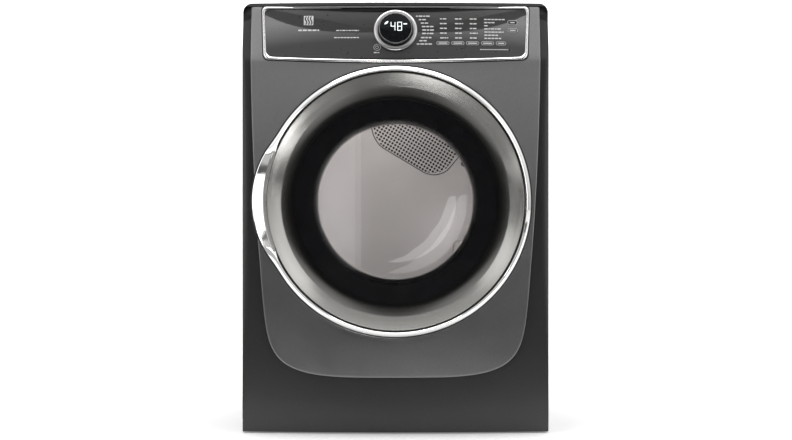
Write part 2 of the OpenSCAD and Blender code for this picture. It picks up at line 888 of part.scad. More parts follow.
module door_ring() {
    profile = [[ring_r - 10, rim_y + 2.5], [ring_r - 8, rim_y + 0.6],
        [ring_r - 5.5, rim_y], [ring_r - 3, rim_y + 0.8], [ring_r - 0.8, rim_y + 4],
        [ring_r, rim_y + 9], [ring_r, ring_back_y], [ring_r - 2.5, ring_back_y],
        [ring_r - 2.5, rim_y + 4], [ring_r - 9, rim_y + 4.5], [ring_r - 9, rim_y + 9],
        [ring_r - 11, rim_y + 9]];
    color(bright_chrome) difference() {
        union() {
            y_turn(0, door_z) polygon(profile);
            translate([0, 0, door_z]) y_prism(lobe_y, lobe_back_y) difference() {
                translate([-lobe_dx, 0]) circle(r = lobe_r, $fn = fine);
                circle(r = ring_r - 9, $fn = fine);
            }
        }
        box(-ring_r - 9, -200, lobe_back_y, -300, door_z - 105, door_z + 105);
        box(200, ring_r + 9, hinge_y - 7, -300, door_z - hinge_notch, door_z + hinge_notch);
        y_turn(0, door_z) polygon([[ring_r - 13, lobe_y - 1], [ring_r - 8, lobe_y - 1],
            [ring_r - 11, rim_y + 2], [ring_r - 13, rim_y + 2]]);
    }
}

// Dished ring between the rim and the window
function dish_y(r) =
    let (u = (r - glass_r) / (ring_r - 12 - glass_r)) glass_y - 1 - 30 * pow(max(u, 0), 1.35);
module door_funnel() {
    radii = [for (i = [0 : 8]) glass_r - 2 + (ring_r - 11.6 - glass_r + 2) * i / 8];
    front = [for (r = radii) [r, dish_y(r)]];
    back = [for (i = [8 : -1 : 0]) [radii[i], dish_y(radii[i]) + 1.8]];
    color(brushed) union() {
        y_turn(0, door_z) polygon(concat(front, back));
        y_tube(0, door_z, glass_y - 0.5, frame_y, glass_r + 3.5, glass_r + 0.3);
    }
}

module door_window() {
    color([0.1, 0.1, 0.11, 0.6]) y_cyl(0, door_z, glass_y + 1, glass_y + 5, glass_r);
}

module door_inner_frame() {
    color(plastic_pale) difference() {
        y_turn(0, door_z) polygon([[collar_r - 3, frame_y], [ring_r - 4, frame_y],
            [ring_r - 4, frame_back_y], [collar_r, frame_back_y], [collar_r, -304],
            [bowl_r - 2, -304], [bowl_r - 2, -306.5], [collar_r - 3, -306.5]]);
        box(243, 330, -350, -330, door_z - hinge_notch, door_z + hinge_notch);
    }
}

module door_bowl() {
    outer = [[bowl_r + 14, -306.5], [bowl_r - 3, -306.5], [bowl_r - 8, -299],
        [bowl_r - 30, -293], [bowl_r - 80, bowl_nose_y - 0.5], [0, bowl_nose_y]];
    inner = [for (i = [5 : -1 : 0]) [max(outer[i][0] - (i == 0 ? 0 : 2), 0),
        outer[i][1] - 3]];
    color([0.75, 0.78, 0.8, 0.35]) y_turn(0, door_z) polygon(concat(outer, inner));
}

module door_gasket() {
    color("#5e5f62") y_tube(0, door_z, frame_back_y, recess_floor_y - 0.5, 232, 222);
}

module door_strike() {
    color(steel) union() {
        box(strike_x - 3, strike_x + 3, frame_back_y, -316, door_z - 8, door_z + 8);
        box(strike_x - 3, strike_x + 6, -319, -316, door_z - 8, door_z + 8);
        box(strike_x - 12, strike_x + 12, frame_back_y, frame_back_y + 1.5,
            door_z - 16, door_z + 16);
    }
}

module door_catch() {
    color(plastic_black) difference() {
        box(strike_x - 18, strike_x + 18, recess_floor_y + sheet_t, -300,
            door_z - 20, door_z + 20);
        box(strike_x - 11, strike_x + 11, -331, -306, door_z - 12, door_z + 12);
    }
}

module hinge_leaf() {
    color(steel) union() {
        translate([hinge_x, hinge_y, door_z - hinge_half])
            cylinder(r = hinge_r, h = 2 * hinge_half);
        translate([hinge_x, hinge_y, door_z - hinge_half - 7])
            cylinder(r = pin_r, h = 2 * hinge_half + 14);
        box(274, hinge_x, hinge_y - 1.5, hinge_y + 1.5, door_z - 36, door_z + 36);
        box(273, 276, hinge_y - 1.5, frame_y - 2, door_z - 36, door_z + 36);
        box(233, 276, frame_y - 3, frame_y, door_z - 36, door_z + 36);
    }
}

module hinge_bracket() {
    lug_t = 6;
    z_low = door_z - hinge_half - 1 - lug_t;
    z_high = door_z + hinge_half + 1;
    color(steel) difference() {
        union() {
            box(238, 266, recess_floor_y - 3, recess_floor_y, door_z - 50, door_z + 50);
            for (z = [z_low, z_high]) {
                translate([hinge_x, hinge_y, z]) cylinder(r = hinge_r, h = lug_t);
                translate([0, 0, z]) linear_extrude(lug_t)
                    polygon([[hinge_x - 4.5, hinge_y - 3.5], [hinge_x + 4.5, hinge_y + 3.5],
                        [257, -331], [240, -331], [240, -334]]);
            }
        }
        translate([hinge_x, hinge_y, 0]) cylinder(r = pin_r + running_fit, h = body_h);
    }
}

cabinet_left_side();
cabinet_right_side();
rear_panel();
top_panel();
base_pan();
front_panel();
front_bulkhead();
rear_bulkhead();
console_fascia();
console_trim();
console_housing();
control_board();
display_lens();
knob_ring();
key_power();
key_temperature();
key_dryness();
key_time();
key_options();
key_select();
key_start();
key_pause();
foot_front_left();
foot_front_right();
foot_rear_left();
foot_rear_right();
drum_shell();
drum_baffles();
drum_felt_seals();
drum_roller_left();
drum_roller_right();
drum_belt();
motor_casing();
motor_shaft();
blower_wheel();
blower_housing();
exhaust_duct();
idler_arm();
idler_pulley();
idler_spring();
lint_filter();
heater_housing();
heater_element();
terminal_block();
moisture_sensor_bars();
drum_lamp();
water_valve();
steam_line();
wiring_harness();
cabinet_screws();
door_catch();
door_ring();
door_funnel();
door_window();
door_inner_frame();
door_bowl();
door_gasket();
door_strike();
hinge_leaf();
hinge_bracket();
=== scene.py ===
"""Looks of the clothes dryer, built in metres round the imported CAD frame."""

import json
import math

import bmesh
import bpy
from mathutils import Matrix, Vector


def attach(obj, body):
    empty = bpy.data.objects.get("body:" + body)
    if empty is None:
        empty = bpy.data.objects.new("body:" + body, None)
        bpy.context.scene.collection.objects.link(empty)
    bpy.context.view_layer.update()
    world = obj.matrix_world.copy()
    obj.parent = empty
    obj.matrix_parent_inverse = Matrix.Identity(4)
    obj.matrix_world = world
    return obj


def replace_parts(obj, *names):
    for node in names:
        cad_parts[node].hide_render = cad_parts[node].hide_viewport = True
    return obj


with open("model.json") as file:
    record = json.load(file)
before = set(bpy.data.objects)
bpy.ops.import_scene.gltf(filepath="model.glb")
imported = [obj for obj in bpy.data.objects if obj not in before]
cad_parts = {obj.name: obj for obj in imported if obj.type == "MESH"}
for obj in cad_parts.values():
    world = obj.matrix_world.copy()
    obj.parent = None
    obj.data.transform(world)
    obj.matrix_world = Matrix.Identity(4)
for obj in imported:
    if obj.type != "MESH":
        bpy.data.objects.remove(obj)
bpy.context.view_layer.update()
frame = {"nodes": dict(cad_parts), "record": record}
NODES = frame["nodes"]

# ---------- dimensions, in metres ----------

HALF_W = 0.343
BODY_H = 0.965
FRONT_TOP_Z = 0.958
FLOOR_GAP = 0.003
STEP_D = 0.006
SHIELD_W = 0.3240
SHIELD_TAPER = 0.0455
SHIELD_H = 0.838
CORNER_Z = 0.425
CORNER_DROP = 0.298
CROWN_Y = -0.352
CROWN_Z = 0.520
CROWN_R = 6.0
BARREL_R = 3.1
BARREL_AXIS_Y = CROWN_Y + BARREL_R
FOLD_Z = 0.835
CONSOLE_LEAN = math.radians(17)
EDGE_R = 0.018
EDGE_ARC_Y = -0.311
SHOULDER_R = 0.020
RETURN_Y = -0.292

DOOR_Z = 0.518
RING_R = 0.298
RECESS_R = 0.302
RECESS_FLOOR_Y = -0.331
THROAT_R = 0.212
RIM_Y = -0.388
LOBE_BACK_Y = -0.376
RING_BACK_Y = -0.345
GLASS_Y = -0.352
GLASS_R = 0.2275
CREASE_R = 0.2535
LOBE_REACH = 0.316
LOBE_INNER_R = 0.2828
LOBE_CREST_Y = -0.3862
LOBE_DISH_Y = -0.3792
RIM_INNER_R = 0.2872
# Width of the black lip out past the door rim's edge, a painted shadow line
EDGE_SHADOW_W = 0.0024
HINGE_NOTCH = 0.052
HINGE_RELIEF_Y = -0.377
DISH_EDGE_R = 0.2820
LOBE_HALF = math.radians(28)
LOBE_DX = (LOBE_REACH**2 - RING_R**2) / (2 * (LOBE_REACH - RING_R * math.cos(LOBE_HALF)))
LOBE_R = LOBE_REACH - LOBE_DX

DRUM_BACK_Y = 0.303

CONSOLE_Z = 0.898
TRIM_W = 0.0065
TRIM_TOP_Z = 0.957
FASCIA_OUT = 0.0016
MARK_LOW = 0.0026
MARK_HIGH = 0.00285
PRINT_LOW = -0.0001
PRINT_HIGH = 0.00022

# A card's point is this many times as far from the door's axis as where the pane mirrors it
PANE_MIRROR = 2.37
PANE_CARD_Y = -3.7
PANE_CARD_RISE = 0.032
FLOOR_CARD_Z = 0.004
FLOOR_SPLIT_Y = -1.45
FLOOR_NEAR_Y = -0.56
MERGE = 0.00001
FINE_MERGE = 0.0000001
DISH_PIECES = ("door_dish", "door_rim")


def crown(z):
    """How far the front face leans back at height z, from its barrel shape."""
    return (z - CROWN_Z) ** 2 / (2 * CROWN_R)


def lean(z):
    """Total lean: the barrel up to the fold, then the tilted console."""
    if z < FOLD_Z:
        return crown(z)
    return crown(FOLD_Z) + (z - FOLD_Z) * math.tan(CONSOLE_LEAN)


def face_y(x, z):
    """Y of the shield's face."""
    return CROWN_Y + lean(z) + x * x / (2 * BARREL_R)


def smooth_max(a, b, k):
    """The larger of a and b, with the corner between them rounded over k."""
    h = max(k - abs(a - b), 0) / k
    return max(a, b) + h * h * k / 4


def smooth_step(low, high, value):
    t = min(max((value - low) / (high - low), 0), 1)
    return t * t * (3 - 2 * t)


def spaced(start, end, count):
    """count + 1 evenly spaced numbers."""
    return [start + (end - start) * i / count for i in range(count + 1)]


# ---------- materials ----------


class Graph:
    """A node tree with short calls for its nodes."""

    def __init__(self, tree):
        self.nodes = tree.nodes
        self.links = tree.links

    def feed(self, socket, value):
        """Gives an input a value, or links it when the value is another node's output."""
        if isinstance(value, bpy.types.NodeSocket):
            self.links.new(value, socket)
        else:
            socket.default_value = value

    def add(self, kind, **inputs):
        node = self.nodes.new("ShaderNode" + kind)
        for key, value in inputs.items():
            self.feed(node.inputs[key.replace("_", " ")], value)
        return node

    def spread(self, value, low, high, at=(0.3, 0.7)):
        """Maps a value onto low to high, as it goes from at[0] to at[1]."""
        ranged = self.add("MapRange", Value=value, From_Min=at[0], From_Max=at[1],
                          To_Min=low, To_Max=high)
        return ranged.outputs["Result"]

    def ramp(self, value, stops):
        """The colour at a value between (position, colour) stops."""
        node = self.add("ValToRGB", Fac=value)
        marks = node.color_ramp.elements
        while len(marks) < len(stops):
            marks.new(0.5)
        for mark, (position, colour) in zip(marks, stops):
            mark.position = position
            mark.color = (*colour, 1)
        return node.outputs["Color"]

    def mix(self, value, first, second, at=(0.3, 0.7)):
        """A colour from first to second, as value goes from at[0] to at[1]."""
        return self.ramp(value, [(at[0], first), (at[1], second)])

    def blend(self, share, first, second):
        """Goes from one surface to another as share goes from 0 to 1."""
        mixed = self.add("MixShader")
        for output, socket in zip((share, first, second), mixed.inputs):
            self.links.new(output, socket)
        return mixed.outputs[0]


class Shader(Graph):
    """A node material with a Principled surface."""

    def __init__(self, name, **inputs):
        self.material = bpy.data.materials.new(name)
        self.material.use_nodes = True
        super().__init__(self.material.node_tree)
        self.surface = self.nodes["Principled BSDF"]
        self.place = self.add("TexCoord").outputs["Object"]
        for key, value in inputs.items():
            self.set(key.replace("_", " "), value)

    def set(self, name, value):
        """Sets or links an input of the surface, found by its name in any case."""
        found = next(s for s in self.surface.inputs if s.name.lower() == name.lower())
        self.feed(found, (*value, 1) if isinstance(value, tuple) else value)

    def noise(self, size, stretch=(1, 1, 1), detail=3.0):
        """Noise whose features are size metres across, times stretch along each axis."""
        mapping = self.add("Mapping", Vector=self.place, Scale=[1 / (size * s) for s in stretch])
        noise = self.add("TexNoise", Vector=mapping.outputs["Vector"], Scale=1.0, Detail=detail)
        return noise.outputs["Fac"]

    def bump(self, height, distance):
        bump = self.add("Bump", Height=height, Distance=distance, Strength=1.0)
        self.set("Normal", bump.outputs["Normal"])

    def door_radius(self):
        """Distance from the door's axis, in metres."""
        value = self.place
        for operation, operand in (("SUBTRACT", (0, 0, DOOR_Z)), ("MULTIPLY", (1, 0, 1))):
            node = self.add("VectorMath")
            node.operation = operation
            node.inputs[1].default_value = operand
            self.links.new(value, node.inputs[0])
            value = node.outputs[0]
        length = self.add("VectorMath")
        length.operation = "LENGTH"
        self.links.new(value, length.inputs[0])
        return length.outputs["Value"]

    def pane(self, colour, rough, ior):
        """Thin clear glass: seen through, with a Fresnel reflection."""
        clear = self.add("BsdfTransparent", Color=(*colour, 1))
        gloss = self.add("BsdfGlossy", Roughness=rough)
        fresnel = self.add("Fresnel", IOR=ior)
        return self.blend(fresnel.outputs[0], clear.outputs[0], gloss.outputs[0])

    def show(self, output):
        """Makes a surface the one that is seen."""
        self.links.new(output, self.nodes["Material Output"].inputs["Surface"])


def shade(colour, factor):
    return tuple(min(c * factor, 1) for c in colour)


def finish(name, colour, rough, rough_span=0.06, tint=0.06, grain=0.002, relief=0.00002,
           stretch=(1, 1, 1), **inputs):
    """A material with colour drift, worn roughness and a fine surface relief."""
    made = Shader(name, **inputs)
    drift = made.noise(0.11, detail=2)
    made.set("Base Color", made.mix(drift, shade(colour, 1 - tint), shade(colour, 1 + tint)))
    wear = made.noise(grain * 6, stretch)
    made.set("Roughness", made.spread(wear, rough - rough_span, rough + rough_span))
    made.bump(made.noise(grain, stretch, detail=4), relief)
    return made


def metallic_paint(name, colour, rough=0.42, metallic=0.95, coat=0.25):
    """Clear-coated paint with metal flakes."""
    made = Shader(name, metallic=metallic, coat_weight=coat, coat_roughness=0.16)
    flakes = made.noise(0.0007, detail=0)
    made.set("Base Color", made.mix(flakes, shade(colour, 0.86), shade(colour, 1.16)))
    haze = made.noise(0.05, detail=2)
    made.set("Roughness", made.spread(haze, rough - 0.02, rough + 0.03))
    made.bump(made.noise(0.0012, detail=2), 0.000012)
    return made


def turned_metal(name, colour, rough, depth, **inputs):
    """Metal brushed in circles round the door's axis, with painted shade that darkens it towards
    the window.
    """
    made = Shader(name, metallic=1.0, **inputs)
    radius = made.door_radius()
    noise = made.add("TexNoise", Scale=1400, Detail=2)
    noise.noise_dimensions = "1D"
    made.links.new(radius, noise.inputs["W"])
    lines = noise.outputs["Fac"]
    # painted shade: the base colour darkens towards the window
    shadow = made.mix(made.spread(radius, 0.0, 1.0, at=(0.226, 0.258)), (0.36, 0.36, 0.36),
                      (1.0, 1.0, 1.0), at=(0.0, 1.0))
    darken = made.nodes.new("ShaderNodeMix")
    darken.data_type = "RGBA"
    darken.blend_type = "MULTIPLY"
    darken.inputs[0].default_value = 1.0
    tone = made.mix(lines, shade(colour, 0.9), shade(colour, 1.08))
    made.links.new(tone, darken.inputs["A"])
    made.links.new(shadow, darken.inputs["B"])
    made.set("Base Color", darken.outputs["Result"])
    made.set("Roughness", made.spread(lines, rough - 0.04, rough + 0.05))
    made.bump(lines, depth)
    return made


def faded_glass(name, colour):
    """Window glass with a black printed border that fades out towards the middle."""
    made = Shader(name, roughness=0.03, ior=1.5, specular_ior_level=0.5)
    black = made.mix(made.noise(0.02), (0.006, 0.006, 0.007), (0.009, 0.009, 0.010))
    made.set("Base Color", black)
    fade = made.spread(made.door_radius(), 1.0, 0.0, at=(0.187, 0.172))
    pane = made.pane(colour, 0.008, 1.45)
    made.show(made.blend(fade, pane, made.surface.outputs[0]))
    return made


def clear_glass(name, colour):
    made = Shader(name)
    made.show(made.pane(colour, made.spread(made.noise(0.03), 0.04, 0.08), 1.5))
    return made


def glow(name, colour, power):
    made = finish(name, colour, 0.5)
    made.set("Emission Color", colour)
    made.set("Emission Strength", power)
    return made


TITANIUM = (0.365, 0.361, 0.361)
MATERIALS = {
    "titanium_paint": metallic_paint("titanium_paint", TITANIUM),
    # dark_paint: the titanium colour at 0.18; on the front border it is painted shade
    "dark_paint": metallic_paint("dark_paint", shade(TITANIUM, 0.18), 0.5, 0.7, 0.1),
    "brushed_ring": turned_metal("brushed_ring", (0.35, 0.344, 0.330), 0.21, 0.000010,
                                 anisotropic=0.5),
    "window_glass": faded_glass("window_glass", (0.94, 0.925, 0.925)),
    "bowl_glass": clear_glass("bowl_glass", (0.965, 0.955, 0.955)),
}
for slot_name, base, roughness, options in (
    ("galvanised", (0.40, 0.41, 0.42), 0.42, dict(grain=0.012, tint=0.12, metallic=0.9)),
    ("chrome", (0.90, 0.895, 0.885), 0.07,
     dict(rough_span=0.02, tint=0.01, relief=0.000002, metallic=1.0)),
    ("fascia", (0.038, 0.038, 0.037), 0.30,
     dict(rough_span=0.03, tint=0.02, relief=0.000001, metallic=0.2, coat_weight=1.0,
          coat_roughness=0.015)),
    ("black_plastic", (0.018, 0.018, 0.020), 0.5, dict(grain=0.0009)),
    ("pale_plastic", (0.62, 0.62, 0.60), 0.45, dict(grain=0.0009, tint=0.03)),
    ("drum_coat", (0.50, 0.495, 0.49), 0.42, dict(grain=0.001, tint=0.04, metallic=0.25)),
    ("display_glass", (0.006, 0.007, 0.008), 0.06,
     dict(rough_span=0.02, relief=0.000001, coat_weight=1.0, coat_roughness=0.03)),
    ("felt", (0.36, 0.33, 0.28), 0.95,
     dict(rough_span=0.04, grain=0.0006, relief=0.0003, tint=0.12)),
    ("belt_rubber", (0.02, 0.02, 0.02), 0.7, dict(grain=0.0008, relief=0.0001)),
    ("seal_rubber", (0.11, 0.115, 0.12), 0.6, dict(grain=0.0012, relief=0.00005)),
    ("steel", (0.52, 0.53, 0.54), 0.3, dict(grain=0.001, stretch=(6, 1, 1), metallic=1.0)),
    ("motor_paint", (0.10, 0.11, 0.13), 0.4, dict(grain=0.0015)),
    ("circuit_board", (0.03, 0.12, 0.05), 0.3, dict(grain=0.003, tint=0.2)),
    ("key_cap", (0.30, 0.30, 0.30), 0.28, dict(rough_span=0.04, metallic=0.7)),
    ("heater_sheath", (0.20, 0.13, 0.09), 0.5, dict(grain=0.004, tint=0.25, metallic=0.7)),
):
    MATERIALS[slot_name] = finish(slot_name, base, roughness, **options)
SATIN_TRIM = finish("satin_trim", (0.95, 0.945, 0.935), 0.20, rough_span=0.03, tint=0.01,
                    relief=0.000002, metallic=1.0)
SATIN_RING = finish("satin_ring", (0.74, 0.735, 0.73), 0.34, rough_span=0.03, tint=0.01,
                    relief=0.000002, metallic=1.0)
INK = finish("panel_ink", (0.64, 0.64, 0.63), 0.5, tint=0.02)
LIT = glow("display_light", (0.82, 0.90, 0.90), 0.8)


# ---------- mesh helpers ----------


def add_object(name, verts, faces):
    mesh = bpy.data.meshes.new(name)
    mesh.from_pydata([tuple(v) for v in verts], [], faces)
    obj = bpy.data.objects.new(name, mesh)
    bpy.context.scene.collection.objects.link(obj)
    return obj


def make_piece(name, verts, faces, slot, body="cabinet", paint=None, extra=(), marks=None,
               crease=30, merge=MERGE):
    """Adds a mesh object that rides on a body. paint stands in for the slot's own material,
    marks gives each face's material number, and crease is the angle in degrees past which
    an edge stays sharp, or None for a mesh that is shaded later."""
    obj = add_object(name, verts, faces)
    mesh = obj.data
    mesh.validate()
    mesh.materials.append((paint or MATERIALS[slot]).material)
    for key in extra:
        mesh.materials.append(MATERIALS[key].material)
    if marks:
        for face, mark in zip(mesh.polygons, marks):
            face.material_index = mark
    for face in mesh.polygons:
        face.use_smooth = True
    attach(obj, body)
    clean(obj, merge)
    if crease:
        sharpen(obj, crease)
    return obj


def grid_faces(rows, columns, wrap_rows=False, wrap_columns=False):
    """Quads between rows of columns points each."""
    faces = []
    for i in range(rows if wrap_rows else rows - 1):
        for j in range(columns if wrap_columns else columns - 1):
            a = i * columns + j
            b = i * columns + (j + 1) % columns
            c = (i + 1) % rows * columns + (j + 1) % columns
            d = (i + 1) % rows * columns + j
            faces.append((a, b, c, d))
    return faces


def clean(obj, distance):
    """Merges doubled points and turns every face outwards."""
    work = bmesh.new()
    work.from_mesh(obj.data)
    bmesh.ops.remove_doubles(work, verts=work.verts, dist=distance)
    bmesh.ops.dissolve_degenerate(work, edges=work.edges, dist=distance / 4)
    bmesh.ops.recalc_face_normals(work, faces=work.faces)
    work.to_mesh(obj.data)
    work.free()


def sharpen(obj, degrees):
    """Smooth shading, with creases kept where faces meet at more than degrees."""
    work = bmesh.new()
    work.from_mesh(obj.data)
    limit = math.radians(degrees)
    for edge in work.edges:
        if len(edge.link_faces) == 2:
            edge.smooth = edge.calc_face_angle(0) < limit
    for face in work.faces:
        face.smooth = True
    work.to_mesh(obj.data)
    work.free()


def lathe(name, profile, slot, steps):
    """Turns a profile of (radius, y) points round the door's axis."""
    verts = []
    for i in range(steps):
        verts += [ray_point(r, 2 * math.pi * i / steps, y) for r, y in profile]
    faces = grid_faces(steps, len(profile), wrap_rows=True, wrap_columns=True)
    return make_piece(name, verts, faces, slot, "door")


def rounded_profile(points, radius, steps=4):
    """A closed profile with its corners rounded."""
    out = []
    count = len(points)
    for i, corner in enumerate(points):
        here = Vector(corner)
        before = Vector(points[i - 1]) - here
        after = Vector(points[(i + 1) % count]) - here
        reach = min(radius, before.length * 0.45, after.length * 0.45)
        start = here + before.normalized() * reach
        end = here + after.normalized() * reach
        for k in range(steps + 1):
            t = k / steps
            point = start * (1 - t) ** 2 + here * 2 * t * (1 - t) + end * t * t
            out.append(tuple(point))
    return out


def outline_normals(points):
    """Outward unit normals of a closed outline that runs anticlockwise."""
    count = len(points)
    found = []
    for i in range(count):
        tangent = Vector(points[(i + 1) % count]) - Vector(points[i - 1])
        found.append(Vector((tangent.y, -tangent.x)).normalized())
    return found


def slab(name, outline, low, high, bevel, slot, place, body="cabinet", paint=None, steps=3):
    """A plate from an outline, with a rounded upper edge, put in place by a function."""
    normals = outline_normals(outline)
    levels = [(0, low), (0, high - bevel)]
    for k in range(1, steps + 1):
        a = math.pi / 2 * k / steps
        levels.append((bevel * (1 - math.cos(a)), high - bevel * (1 - math.sin(a))))
    verts = []
    for inset, level in levels:
        for point, normal in zip(outline, normals):
            verts.append(place(point[0] - normal.x * inset, point[1] - normal.y * inset, level))
    count = len(outline)
    faces = grid_faces(len(levels), count, wrap_columns=True)
    last = (len(levels) - 1) * count
    faces.append(tuple(range(last, last + count)))
    faces.append(tuple(reversed(range(count))))
    return make_piece(name, verts, faces, slot, body, paint)


def pill(width, height, steps):
    """A stadium outline, anticlockwise."""
    radius = height / 2
    straight = (width - height) / 2
    out = []
    for side, turn in ((1, -math.pi / 2), (-1, math.pi / 2)):
        for k in range(steps + 1):
            a = turn + math.pi * k / steps
            out.append((side * straight + radius * math.cos(a), radius * math.sin(a)))
    return out


# ---------- cabinet front ----------


def shield_w(z):
    return SHIELD_W - SHIELD_TAPER * ((BODY_H - z) / SHIELD_H) ** 2


def shield_outline():
    """Right half of the shield's outline from the top down, as (x, z)."""
    side = [(shield_w(z), z) for z in spaced(1.2, CORNER_Z, 60)]
    for t in spaced(1, 90, 89):
        a = math.radians(t)
        z = CORNER_Z - CORNER_DROP * math.sin(a) ** 0.25
        side.append((shield_w(z) * math.sqrt(max(math.cos(a), 0)), z))
    return side + [(-x, z) for x, z in reversed(side)]


def panel_outline():
    """Outline of the pressed front: square at the floor, rounded at the shoulders."""
    right = [(HALF_W, FLOOR_GAP)]
    for a in spaced(0, 90, 18):
        x = HALF_W - SHOULDER_R + SHOULDER_R * math.cos(math.radians(a))
        z = BODY_H - SHOULDER_R + SHOULDER_R * math.sin(math.radians(a))
        if z < FRONT_TOP_Z:
            right.append((x, z))
    edge = math.acos(1 - (BODY_H - FRONT_TOP_Z) / SHOULDER_R)
    right.append((HALF_W - SHOULDER_R + SHOULDER_R * math.sin(edge), FRONT_TOP_Z))
    return right + [(-x, z) for x, z in reversed(right)]


def reach(outline, angle):
    """How far a ray from the door's centre goes before it meets the outline."""
    dx, dz = math.cos(angle), math.sin(angle)
    best = 9.0
    for (x0, z0), (x1, z1) in zip(outline, outline[1:] + outline[:1]):
        z0, z1 = z0 - DOOR_Z, z1 - DOOR_Z
        ex, ez = x1 - x0, z1 - z0
        cross = dx * ez - dz * ex
        if abs(cross) < 1e-12:
            continue
        along = (x0 * ez - z0 * ex) / cross
        share = (x0 * dz - z0 * dx) / cross
        if along > 0 and -1e-9 <= share <= 1 + 1e-9:
            best = min(best, along)
    return best


def edge_y(x):
    """Y of the rounded side edge of the cabinet front."""
    over = abs(x) - (HALF_W - EDGE_R)
    if over <= 0:
        return EDGE_ARC_Y - EDGE_R
    return EDGE_ARC_Y - math.sqrt(max(EDGE_R**2 - over**2, 0))


def border_y(x, z):
    return smooth_max(face_y(x, z) + STEP_D, edge_y(x), 0.006)


def ray_angles(outline, count=720):
    """Even ray angles, with extra ones at the outline's corners."""
    angles = {round(2 * math.pi * i / count, 6) for i in range(count)}
    for x, z in outline:
        angles.add(round(math.atan2(z - DOOR_Z, x) % (2 * math.pi), 6))
    return sorted(angles)


def ray_point(radius, angle, y):
    return (radius * math.cos(angle), y, DOOR_Z + radius * math.sin(angle))


def ray_on(surface, radius, angle, back=0.0):
    """Where a ray of that radius meets a surface, pushed back by so much."""
    x, _, z = ray_point(radius, angle, 0)
    return ray_point(radius, angle, surface(x, z) + back)


def console_hole(obj):
    """Cuts the opening behind the console out of the shield."""
    outline = trim_outline(0.003)
    verts = [(x, y, z) for y in (-0.5, 0.0) for x, z in outline]
    count = len(outline)
    faces = grid_faces(2, count, wrap_columns=True)
    faces += [tuple(range(count)), tuple(reversed(range(count, 2 * count)))]
    cutter = add_object("cutter", verts, faces)
    clean(cutter, MERGE)
    cut = obj.modifiers.new("cut", "BOOLEAN")
    cut.operation = "DIFFERENCE"
    cut.solver = "EXACT"
    cut.object = cutter
    graph = bpy.context.evaluated_depsgraph_get()
    made = bpy.data.meshes.new_from_object(obj.evaluated_get(graph))
    obj.modifiers.clear()
    obj.data = made
    bpy.data.objects.remove(cutter)


def build_shield():
    """The raised shield: recess roll, crowned field, rounded edge and its side wall."""
    outline = shield_outline()
    outer = panel_outline()
    angles = ray_angles(outer)
    roll = 0.0020
    verts = []
    rows = 0
    for angle in angles:
        edge = min(reach(outline, angle), reach(outer, angle))
        row = [ray_point(THROAT_R + 0.004, angle, RECESS_FLOOR_Y)]
        row.append(ray_point(RECESS_R - 0.002, angle, RECESS_FLOOR_Y))
        row.append(ray_point(RECESS_R, angle, RECESS_FLOOR_Y - 0.002))
        for a in spaced(0, math.pi / 2, 5):
            r = RECESS_R + roll * (1 - math.cos(a))
            row.append(ray_on(face_y, r, angle, roll * (1 - math.sin(a))))
        for r in spaced(RECESS_R + roll, edge - roll, 26)[1:]:
            row.append(ray_on(face_y, r, angle))
        for a in spaced(0, math.pi / 2, 6)[1:]:
            r = edge - roll * (1 - math.sin(a))
            row.append(ray_on(face_y, r, angle, roll * (1 - math.cos(a))))
        wall_y = ray_on(face_y, edge, angle, STEP_D + 0.001)[1]
        row.append(ray_point(edge + 0.0012, angle, wall_y))
        rows = len(row)
        verts += row
    faces = grid_faces(len(angles), rows, wrap_rows=True)
    obj = make_piece("front_shield", verts, faces, "titanium_paint", crease=None)
    console_hole(obj)
    sharpen(obj, 40)
    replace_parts(obj, "front_panel")


def build_border():
    """The face round the shield, with the cabinet's rounded front edges, in a darker copy of the
    titanium paint that is painted shade.
    """
    outline = shield_outline()
    outer = panel_outline()
    angles = ray_angles(outer)
    verts = []
    columns = 0
    for angle in angles:
        edge = reach(outer, angle)
        start = min(reach(outline, angle), edge) - 0.012
        slant = max(abs(math.cos(angle)), abs(math.sin(angle)))
        band = EDGE_R / slant * 1.15
        radii = spaced(start, edge - min(band, (edge - start) * 0.6), 8)
        last = radii[-1]
        radii += [last + (edge - last) * math.sin(math.pi / 2 * k / 14) for k in range(1, 15)]
        row = [ray_on(border_y, r, angle) for r in radii]
        y = row[-1][1]
        roll = 0.0015
        back = max(RETURN_Y, y + 0.012)
        row[-1] = ray_point(edge - roll * 0.3, angle, y + roll * 0.3)
        row.append(ray_point(edge, angle, y + roll))
        row.append(ray_point(edge, angle, back))
        columns = len(row)
        verts += row
    faces = grid_faces(len(angles), columns, wrap_rows=True)
    make_piece("front_border", verts, faces, "dark_paint", crease=40)


# ---------- console ----------


def trim_outline(inset=0.0):
    """Console outline in X and Z: straight top, bowed bottom and rounded corners."""
    top_w = 0.300 - inset
    low_w = 0.2948 - inset
    top_z = TRIM_TOP_Z - inset
    low_z = 0.834 + inset
    bow = 0.0075
    top_r = 0.009
    low_r = 0.015
    right = []
    for a in spaced(90, 0, 20):
        a = math.radians(a)
        right.append((top_w - top_r + top_r * math.cos(a), top_z - top_r + top_r * math.sin(a)))
    for a in spaced(0, -90, 20):
        a = math.radians(a)
        right.append((low_w - low_r + low_r * math.cos(a), low_z + low_r + low_r * math.sin(a)))
    span = low_w - low_r
    for x in spaced(span, 0, 32)[1:]:
        right.append((x, low_z - bow * (1 - (x / span) ** 2)))
    left = [(-x, z) for x, z in reversed(right[:-1])]
    return list(reversed(right + left))


def on_console(x=0.0, z=CONSOLE_Z):
    """A function that places points on the console at x, z: across, up the slope and out."""
    turn = Matrix.Rotation(math.asin(x / BARREL_R), 4, "Z")
    out = Matrix.Translation((0, lean(z) - BARREL_R, 0))
    tilt = Matrix.Rotation(math.pi / 2 - CONSOLE_LEAN, 4, "X")
    matrix = Matrix.Translation((0, BARREL_AXIS_Y, z)) @ turn @ out @ tilt
    return lambda u, v, n: tuple(matrix @ Vector((u, v, n)))


def over_face(out):
    """A function that lays (x, z, depth) points over the curved front face."""
    def place(x, z, n):
        return (x, face_y(x, z) - out - n, z)
    return place


